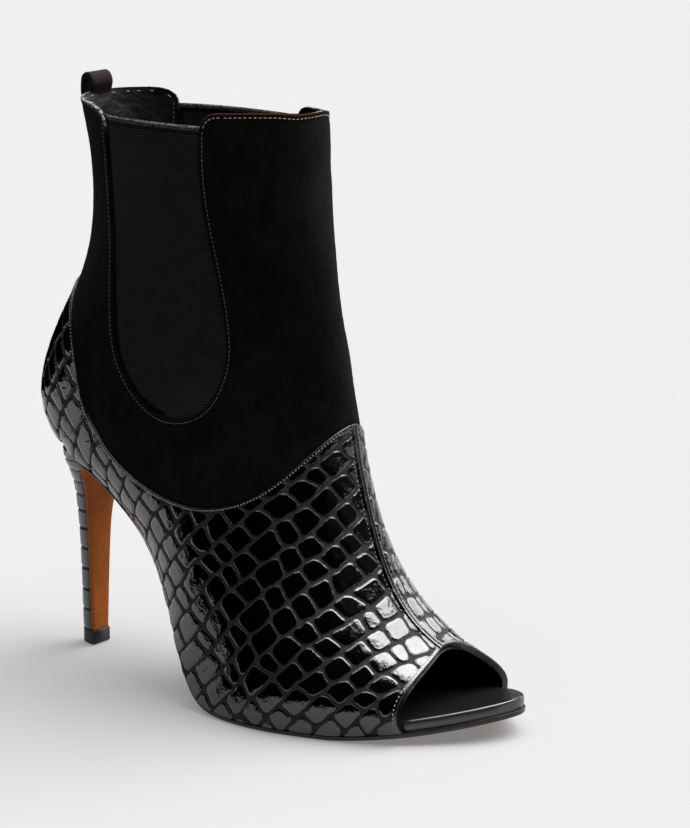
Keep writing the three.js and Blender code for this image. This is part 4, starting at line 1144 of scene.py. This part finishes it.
def heel():
    """The heel's cover, with a ladder of tiles that is three wide and five near the seat."""
    levels, turns = np.linspace(HEEL_BASE, HEEL_TOP, 300), np.linspace(0, math.pi, 121)
    p, n = around_heel(levels, turns)
    rows, width = p.shape[:2]
    stray = lambda scale, seed: noise(p.reshape(-1, 3), scale, seed).reshape(rows, width)
    arc = np.concatenate([np.zeros((rows, 1)), np.cumsum(np.linalg.norm(np.diff(p, axis=1), axis=2), 1)], 1)
    total = arc[:, -1:]
    across = np.abs((p[..., 2] + 0.5 * stray(9, 12))[..., None] - HEEL_TILES).min(-1)
    count = np.where(levels < 58, 3, 5)[:, None]
    place = arc / total * count + 0.12 * stray(11, 17)
    column = np.abs(place - np.round(place)) * total / count
    column = np.where((place < 0.4) | (place > count - 0.4), 9, column)
    soft = 0.5
    gap = -soft * np.log(np.exp(-across / soft) + np.exp(-column / soft)) + 0.12 * stray(1.5, 19)
    rimmed = smoothstep(np.minimum(arc, total - arc), 0.1, 0.9)
    height = HEEL_PAD * smoothstep(gap, 0.15, 0.85) + HEEL_CROWN * smoothstep(gap, 0.6, 3)
    height = height * rimmed - HEEL_SINK
    points = (p + n * height[..., None]).reshape(-1, 3)
    index = np.arange(rows * width).reshape(rows, width)
    quads = np.stack([index[:-1, :-1], index[:-1, 1:], index[1:, 1:], index[1:, :-1]], -1).reshape(-1, 4)
    under = feather_at(np.clip(points[:, 0], X_SEAT, X_TIP)) - 0.05 - points[:, 2]
    (points, depth), faces, _ = clip([points, gap.reshape(-1) + 0.3], quads, under)
    (points, depth), faces = drop_unused([points, depth], faces)
    add_mesh("heel_cover", points, faces, PATENT, ("heel",), {"depth": depth})


def breast():
    """The tan leather down the front of the heel, with rounded edges."""
    rings = []
    quarter = np.linspace(0, math.pi / 2, 4)
    for z in np.linspace(HEEL_BASE, HEEL_TOP, 160):
        front, half = float(heel_front(z)), float(heel_width(z)) - 0.15
        xs = front - 0.35 + 0.35 * np.sin(quarter)
        ys = half - 0.5 * (1 - np.cos(quarter))
        left = [(front - BREAST_DEPTH, -half, z)] + [(x, -y, z) for x, y in zip(xs, ys)]
        middle = [(front, half * share, z) for share in (-0.5, 0, 0.5)]
        rings.append(left + middle + [(x, -y, z) for x, y, z in left[::-1]])
    points, faces = loft(rings)
    faces = facing_out(points, faces)
    quads = np.array([face if len(face) == 4 else face + [face[-1]] for face in faces])
    (points,), faces, _ = clip([points], quads, feather_at(points[:, 0]) - 0.05 - points[:, 2])
    faces = [[v for i, v in enumerate(face) if i == 0 or v != face[i - 1]] for face in faces]
    (points,), faces = drop_unused([points], [face for face in faces if len(face) > 2])
    add_mesh("heel_breast_leather", points, faces, TAN, ("heel_breast",))


def lift():
    """The rubber under the heel, flat in front and round behind."""
    front, back, half = TIP_FRONT + 0.2, TIP_FRONT + 0.2 - 9.0, 5.0
    rings = []
    for z, grow in ((0, -0.35), (0.12, -0.12), (0.35, 0), (5.7, 0), (5.9, -0.08), (6.15, -0.3)):
        ring = []
        for k in range(41):
            a = math.pi * k / 40
            ring.append((front + grow - (front - back + 2 * grow) * math.sin(a),
                         math.cos(a) * (half + grow), z))
        rings.append(ring)
    points, faces = loft(rings)
    add_mesh("top_lift_rubber", points, facing_out(points, faces), RUBBER, ("top_lift",))


heel()
breast()
lift()


# The pull loop
back_rows = np.arange(SEAT_ROW + 1, LAST_ROW + 1)
back_row = natural(foot_z(back_rows), back_rows)


def back_line(z):
    return float(foot_x(back_row(z)))


def catmull(points, count):
    """Points along a centripetal curve through the given ones."""
    points = np.array(points, float)
    ends = [2 * points[0] - points[1], *points, 2 * points[-1] - points[-2]]
    t = np.concatenate([[0], np.cumsum(np.linalg.norm(np.diff(ends, axis=0), axis=1) ** 0.5)])
    curves = [natural(t, np.array(ends)[:, k]) for k in range(points.shape[1])]
    at = np.linspace(t[1], t[-2], count)
    return np.stack([c(at) for c in curves], -1)


STRAP_THICK, STRAP_WIDE, STRAP_TAIL = 1.3, 12.0, 17.0
# The strap's section, as shares of its half width and its half thickness
STRAP_EDGE = [(-1, 0.2), (-0.96, 0.9), (-0.9, 1), (-0.5, 0.94), (0, 0.92), (0.5, 0.94), (0.9, 1),
              (0.96, 0.9), (1, 0.2)]
STRAP_RING = [(y, -s) for y, s in STRAP_EDGE] + STRAP_EDGE[::-1]


def loop():
    """The strap that stands over the back of the collar, laid on outside and tucked in inside."""
    outer, between = SUEDE_STEP - GAP - STRAP_THICK / 2 + 0.15, (SUEDE_STEP + WALL) / 2
    high = COLLAR_HEIGHT + 4 - STRAP_THICK / 2
    rim_x = back_line(BACK_TOP)
    legs = lambda z, out: (back_line(z) + out, z)
    path = [legs(BACK_TOP - STRAP_TAIL, outer), legs(BACK_TOP - STRAP_TAIL * 0.65, outer),
            legs(BACK_TOP - STRAP_TAIL * 0.35, outer - 1.2 * STRAP_THICK)]
    path += [(rim_x + reach * 7, BACK_TOP + (high - BACK_TOP) * up) for reach, up in LOOP[:-1]]
    path += [(rim_x + 2.3, BACK_TOP + 0.6), legs(BACK_TOP - 2.5, between), legs(BACK_TOP - 8, between)]
    line = catmull(path, 110)
    rings = []
    for i, (x, z) in enumerate(line):
        a, b = line[max(0, i - 1)], line[min(len(line) - 1, i + 1)]
        t = (b - a) / np.linalg.norm(b - a) * STRAP_THICK / 2
        rings.append([(x - t[1] * s, y * STRAP_WIDE / 2, z + t[0] * s) for y, s in STRAP_RING])
    points, faces = loft(rings)
    add_mesh("loop_strap", points, facing_out(points, faces), STRAP, ("pull_loop",))


loop()


# Stitches
def offset_line(line, distance):
    """A polyline moved to its left."""
    t = np.gradient(line, axis=0)
    t /= np.linalg.norm(t, axis=1, keepdims=True) + 1e-9
    return np.stack([line[:, 0] - t[:, 1] * distance, line[:, 1] + t[:, 0] * distance], -1)


stitch_sets = {}
# Each stitch is a row of six-sided rings: place along it, size, and rise
STITCH_RINGS = [(-0.5, 0.45, -0.22), (-0.3, 0.95, 0), (0, 1, 0.04), (0.3, 0.95, 0), (0.5, 0.45, -0.22)]


def stitch(kind, spots, normals, pitch, length, width, lift_=0.05, jitter=0.06, seed=1):
    """A row of stitches along points of the surface; kind names the thread."""
    rng = np.random.default_rng(seed)
    walk = np.concatenate([[0], np.cumsum(np.linalg.norm(np.diff(spots, axis=0), axis=1))])
    points, faces = stitch_sets.setdefault(kind, ([], []))
    for at in np.arange(pitch / 2, walk[-1], pitch):
        at += rng.uniform(-jitter, jitter)
        c = np.array([np.interp(at, walk, spots[:, k]) for k in range(3)])
        ahead = np.array([np.interp(at + 0.3, walk, spots[:, k]) for k in range(3)])
        n = np.array([np.interp(at, walk, normals[:, k]) for k in range(3)])
        t = ahead - c
        t /= np.linalg.norm(t) + 1e-9
        s = np.cross(n, t)
        s /= np.linalg.norm(s) + 1e-9
        t = t + s * rng.uniform(-0.08, 0.08)
        start = len(points)
        for along, size, rise in STITCH_RINGS:
            for k in range(6):
                a = k / 6 * 2 * math.pi
                o = (s * math.cos(a) + n * math.sin(a) * 0.8) * size * width / 2
                points.append(c + t * along * length + n * (rise + lift_) + o)
        for r in range(4):
            for k in range(6):
                a, b = start + r * 6 + k, start + r * 6 + (k + 1) % 6
                faces.append([a, b, b + 6, a + 6])
        faces.append([start + k for k in range(5, -1, -1)])
        faces.append([start + 24 + k for k in range(6)])


def sew(kind, side, line, inset, flip=False, **how):
    """A row of stitches along a line drawn on the side view; inset is the depth of its leather,
    and flip puts the row on the inner side."""
    if len(line) > 2:
        spots, normals, good = locate(side, np.array(line), inset)
        normals = -normals if flip else normals
        if good.sum() > 2:
            stitch(kind, spots[good], normals[good], **how)


def row_at(patch, field, away):
    """The line along which a field over a patch takes the value away."""
    f = field(patch.p.reshape(-1, 3)).reshape(patch.shape) - away
    spots, normals = [], []
    for j in range(patch.shape[1]):
        for i in np.flatnonzero(f[:-1, j] * f[1:, j] < 0)[-1:]:
            t = f[i, j] / (f[i, j] - f[i + 1, j])
            spots.append(patch.p[i, j] * (1 - t) + patch.p[i + 1, j] * t)
            normals.append(patch.n[i, j])
    return np.array(spots), np.array(normals)


def ridge_row(patch, away):
    """The line that runs beside the centre seam."""
    spots, normals = [], []
    for i in range(patch.shape[0]):
        j = away / patch.girth[i] * (patch.shape[1] - 1)
        q = patch.p[i, int(j)] + (patch.p[i, int(j) + 1] - patch.p[i, int(j)]) * (j - int(j))
        clear = behind_peep(q[None])[0] > 2.5 and below_upper_edge(q[None])[0] > 1.5
        if clear and patch.rows[i] < SEAT_ROW:
            spots.append(q)
            normals.append(patch.n[i, int(j)])
    return np.array(spots), np.array(normals)


for side in (-1, 1):
    line = collar_line(side)
    line = line[np.abs(line[:, 0]) < FAR / 2]
    line = np.concatenate([[(3.0, BACK_TOP)], line])
    walk = np.concatenate([[0], np.cumsum(np.linalg.norm(np.diff(line, axis=0), axis=1))])
    even = np.arange(0, walk[-1], 0.8)
    line = np.stack([np.interp(even, walk, line[:, k]) for k in (0, 1)], -1)
    edge_line = offset_line(line, -1.5)
    front = gore_edge(side)[-1, 0]
    turned = front + FRONT_CORNER + 2
    sew("thread_dark", side, [q for q in edge_line if 15 < q[0] < 95 and q[1] < 228],
        SUEDE_STEP, pitch=1.75, length=1.15, width=0.34, seed=3)
    sew("thread_brown", side, [q for q in edge_line if 60 < q[0] < turned and q[1] >= 228],
        SUEDE_STEP, pitch=1.9, length=1.2, width=0.34, seed=4)
    spots, normals = row_at(shaft_patch[side], below_collar(side), 1.5)
    top_front = (spots[:, 0] > turned - 1.6) & (spots[:, 2] > 226)
    stitch("thread_brown", spots[top_front], normals[top_front], pitch=1.9, length=1.2, width=0.34, seed=4)
    inner_line = [q for q in offset_line(line, -1.2) if q[0] < 40]
    sew("thread_dark", side, [q for q in inner_line if 214 < q[1] < 227], WALL, flip=True,
        pitch=1.75, length=1.15, width=0.36, seed=10)
    sew("thread_brown", side, [q for q in inner_line if q[1] >= 227], WALL, flip=True,
        pitch=5.5, length=1.8, width=0.4, jitter=1.2, seed=11)
    hem = np.arange(gore_edge(side)[0, 0] + 3.5, front - 1.5, 0.8)
    sew("thread_dark", side, [(x, gore_top(side) - 1.0) for x in hem], GORE_FACE, pitch=1.6, length=1.0,
        width=0.4, lift_=0.36, seed=9)
    sew("thread_pale", side, offset_line(upper_edge, -0.55), 0, pitch=1.45, length=0.85, width=0.4,
        lift_=0.42, seed=5)
    patch = croc_patch[side]
    stitch("thread_pale", *row_at(patch, behind_peep, 0.8), pitch=1.75, length=1.1, width=0.45,
           lift_=0.36, seed=8)
    stitch("thread_pale", *ridge_row(patch, 2.4), pitch=1.9, length=1.1, width=0.36, lift_=0.2, seed=6)

THREADS = {"thread_dark": THREAD_DARK, "thread_pale": THREAD_PALE, "thread_brown": THREAD_BROWN}
for kind, thread in THREADS.items():
    points, faces = stitch_sets[kind]
    add_mesh(kind, np.array(points), faces, thread)


# Floor, light and camera
FLOOR_HALF, FLOOR_DROP = 14.0, 0.0002  # metres
FLOOR_GREY, FLOOR_GLOW = 0.215, 0.2
# The round lights in the sky: the lean from overhead and the way it is turned, the angles from the
# light's middle at which it starts to fade and is gone, and its strength
LIGHTS = [(30, 50, 23, 34, 8.5), (0, 0, 25, 48, 3.1), (66, 85, 10, 25, 4.5)]
ROOM = 0.015  # what each light leaves over the rest of the room
BESIDE_X = [-0.03, 0.03, 0.08, 0.12, 0.145, 0.155]  # the card beside the boot, in metres
BESIDE_Y = [-0.07, -0.068, -0.065, -0.056, -0.03, 0.0]
AZIMUTH, DISTANCE, EYE = math.radians(40), 1220.0, 415.0  # round from the side, mm away and up
AIM = np.array([60.0, 0.0, 110.0])
PHOTO_WIDE, PHOTO_TALL, FOCAL = 690, 828, 3150.0  # pixels
HEEL_PIXEL = (97, 641)  # where the heel's tip stands on the floor
SENSOR = 36


def lay_floor():
    """A pale floor that gives a little light of its own."""
    mesh = bpy.data.meshes.new("floor")
    corners = [(-1, -1), (1, -1), (1, 1), (-1, 1)]
    mesh.from_pydata([(x * FLOOR_HALF, y * FLOOR_HALF, 0) for x, y in corners], [], [(0, 1, 2, 3)])
    white = material("floor_white", (FLOOR_GREY,) * 3, 0.9, Specular_IOR_Level=0.0,
                     Emission_Color=(1, 1, 1, 1), Emission_Strength=FLOOR_GLOW)[0]
    mesh.materials.append(white)
    floor = bpy.data.objects.new("floor", mesh)
    floor.location.z = -FLOOR_DROP
    collection.objects.link(floor)


def round_light(tree, coords, lean, turned, inner, outer, strength):
    """One round light in the sky, as a strength over all directions."""
    lean, turned = math.radians(lean), math.radians(turned)
    dot = tree.nodes.new("ShaderNodeVectorMath")
    dot.operation = "DOT_PRODUCT"
    dot.inputs[1].default_value = (math.sin(lean) * math.cos(turned), math.sin(lean) * math.sin(turned),
                                   math.cos(lean))
    tree.links.new(coords.outputs["Generated"], dot.inputs[0])
    ramp = tree.nodes.new("ShaderNodeMapRange")
    ramp.interpolation_type = "SMOOTHSTEP"
    ramp.inputs["From Min"].default_value = math.cos(math.radians(outer))
    ramp.inputs["From Max"].default_value = math.cos(math.radians(inner))
    ramp.inputs["To Min"].default_value = ROOM
    ramp.inputs["To Max"].default_value = strength
    tree.links.new(dot.outputs["Value"], ramp.inputs["Value"])
    return ramp.outputs["Result"]


def light_room():
    """A light that leans back and to the right, a dome over the boot and a low light behind it,
    in a dark room."""
    world = bpy.data.worlds.new("studio")
    bpy.context.scene.world = world
    world.use_nodes = True
    tree = world.node_tree
    coords = tree.nodes.new("ShaderNodeTexCoord")
    total, *others = [round_light(tree, coords, *light) for light in LIGHTS]
    for light in others:
        both = tree.nodes.new("ShaderNodeMath")
        tree.links.new(total, both.inputs[0])
        tree.links.new(light, both.inputs[1])
        total = both.outputs[0]
    background = tree.nodes["Background"]
    tree.links.new(total, background.inputs["Strength"])
    background.inputs["Color"].default_value = (1, 1, 1, 1)


def arc(radius, first, last):
    """An arc round the heel's tip, between two angles."""
    angles = np.radians(np.linspace(first, last, 25))
    return np.stack([radius * np.cos(angles), radius * np.sin(angles)], -1)


def hang_cards():
    """Black cards, seen only in reflections: a low one beside the boot, a taller one round the
    front and one further off on the left."""
    points, quads = [], []
    beside = curve_points(BESIDE_X, BESIDE_Y, 5)
    for line, tall in ((beside, 0.1), (arc(0.2, -146, -18), 0.3), (arc(0.5, 140, 214), 0.3)):
        start = len(points)
        for x, y in line.tolist():
            points += [(x, y, 0), (x, y, tall)]
        quads += [(k, k + 2, k + 3, k + 1) for k in range(start, len(points) - 2, 2)]
    mesh = bpy.data.meshes.new("black_card")
    mesh.from_pydata(points, [], quads)
    mesh.materials.append(material("card_black", (0, 0, 0), 1.0, Specular_IOR_Level=0.0)[0])
    card = bpy.data.objects.new("black_card", mesh)
    card.visible_camera = card.visible_diffuse = card.visible_shadow = card.visible_transmission = False
    collection.objects.link(card)


def aim_camera():
    """The photo's view, shifted so that the heel's tip falls on its pixel."""
    spot = np.array([AIM[0] + math.sin(AZIMUTH) * DISTANCE, -math.cos(AZIMUTH) * DISTANCE, EYE])
    forward = (AIM - spot) / np.linalg.norm(AIM - spot)
    right = np.cross(forward, (0, 0, 1))
    right /= np.linalg.norm(right)
    up = np.cross(right, forward)
    tip = -spot
    centre_x = HEEL_PIXEL[0] - FOCAL * (tip @ right) / (tip @ forward)
    centre_y = HEEL_PIXEL[1] + FOCAL * (tip @ up) / (tip @ forward)
    data = bpy.data.cameras.new("photo_view")
    data.sensor_fit = "VERTICAL"
    data.sensor_height = SENSOR
    data.lens = FOCAL / PHOTO_TALL * SENSOR
    data.shift_x = (PHOTO_WIDE / 2 - centre_x) / PHOTO_TALL
    data.shift_y = (centre_y - PHOTO_TALL / 2) / PHOTO_TALL
    data.clip_end = 60
    camera = bpy.data.objects.new("photo_view", data)
    camera.location = Vector((spot + SHIFT) * 0.001)
    camera.rotation_euler = Vector(forward).to_track_quat("-Z", "Y").to_euler()
    collection.objects.link(camera)
    bpy.context.scene.camera = camera


lay_floor()
light_room()
hang_cards()
aim_camera()
bpy.context.scene.view_settings.view_transform = "Standard"
bpy.context.scene.view_settings.look = "None"
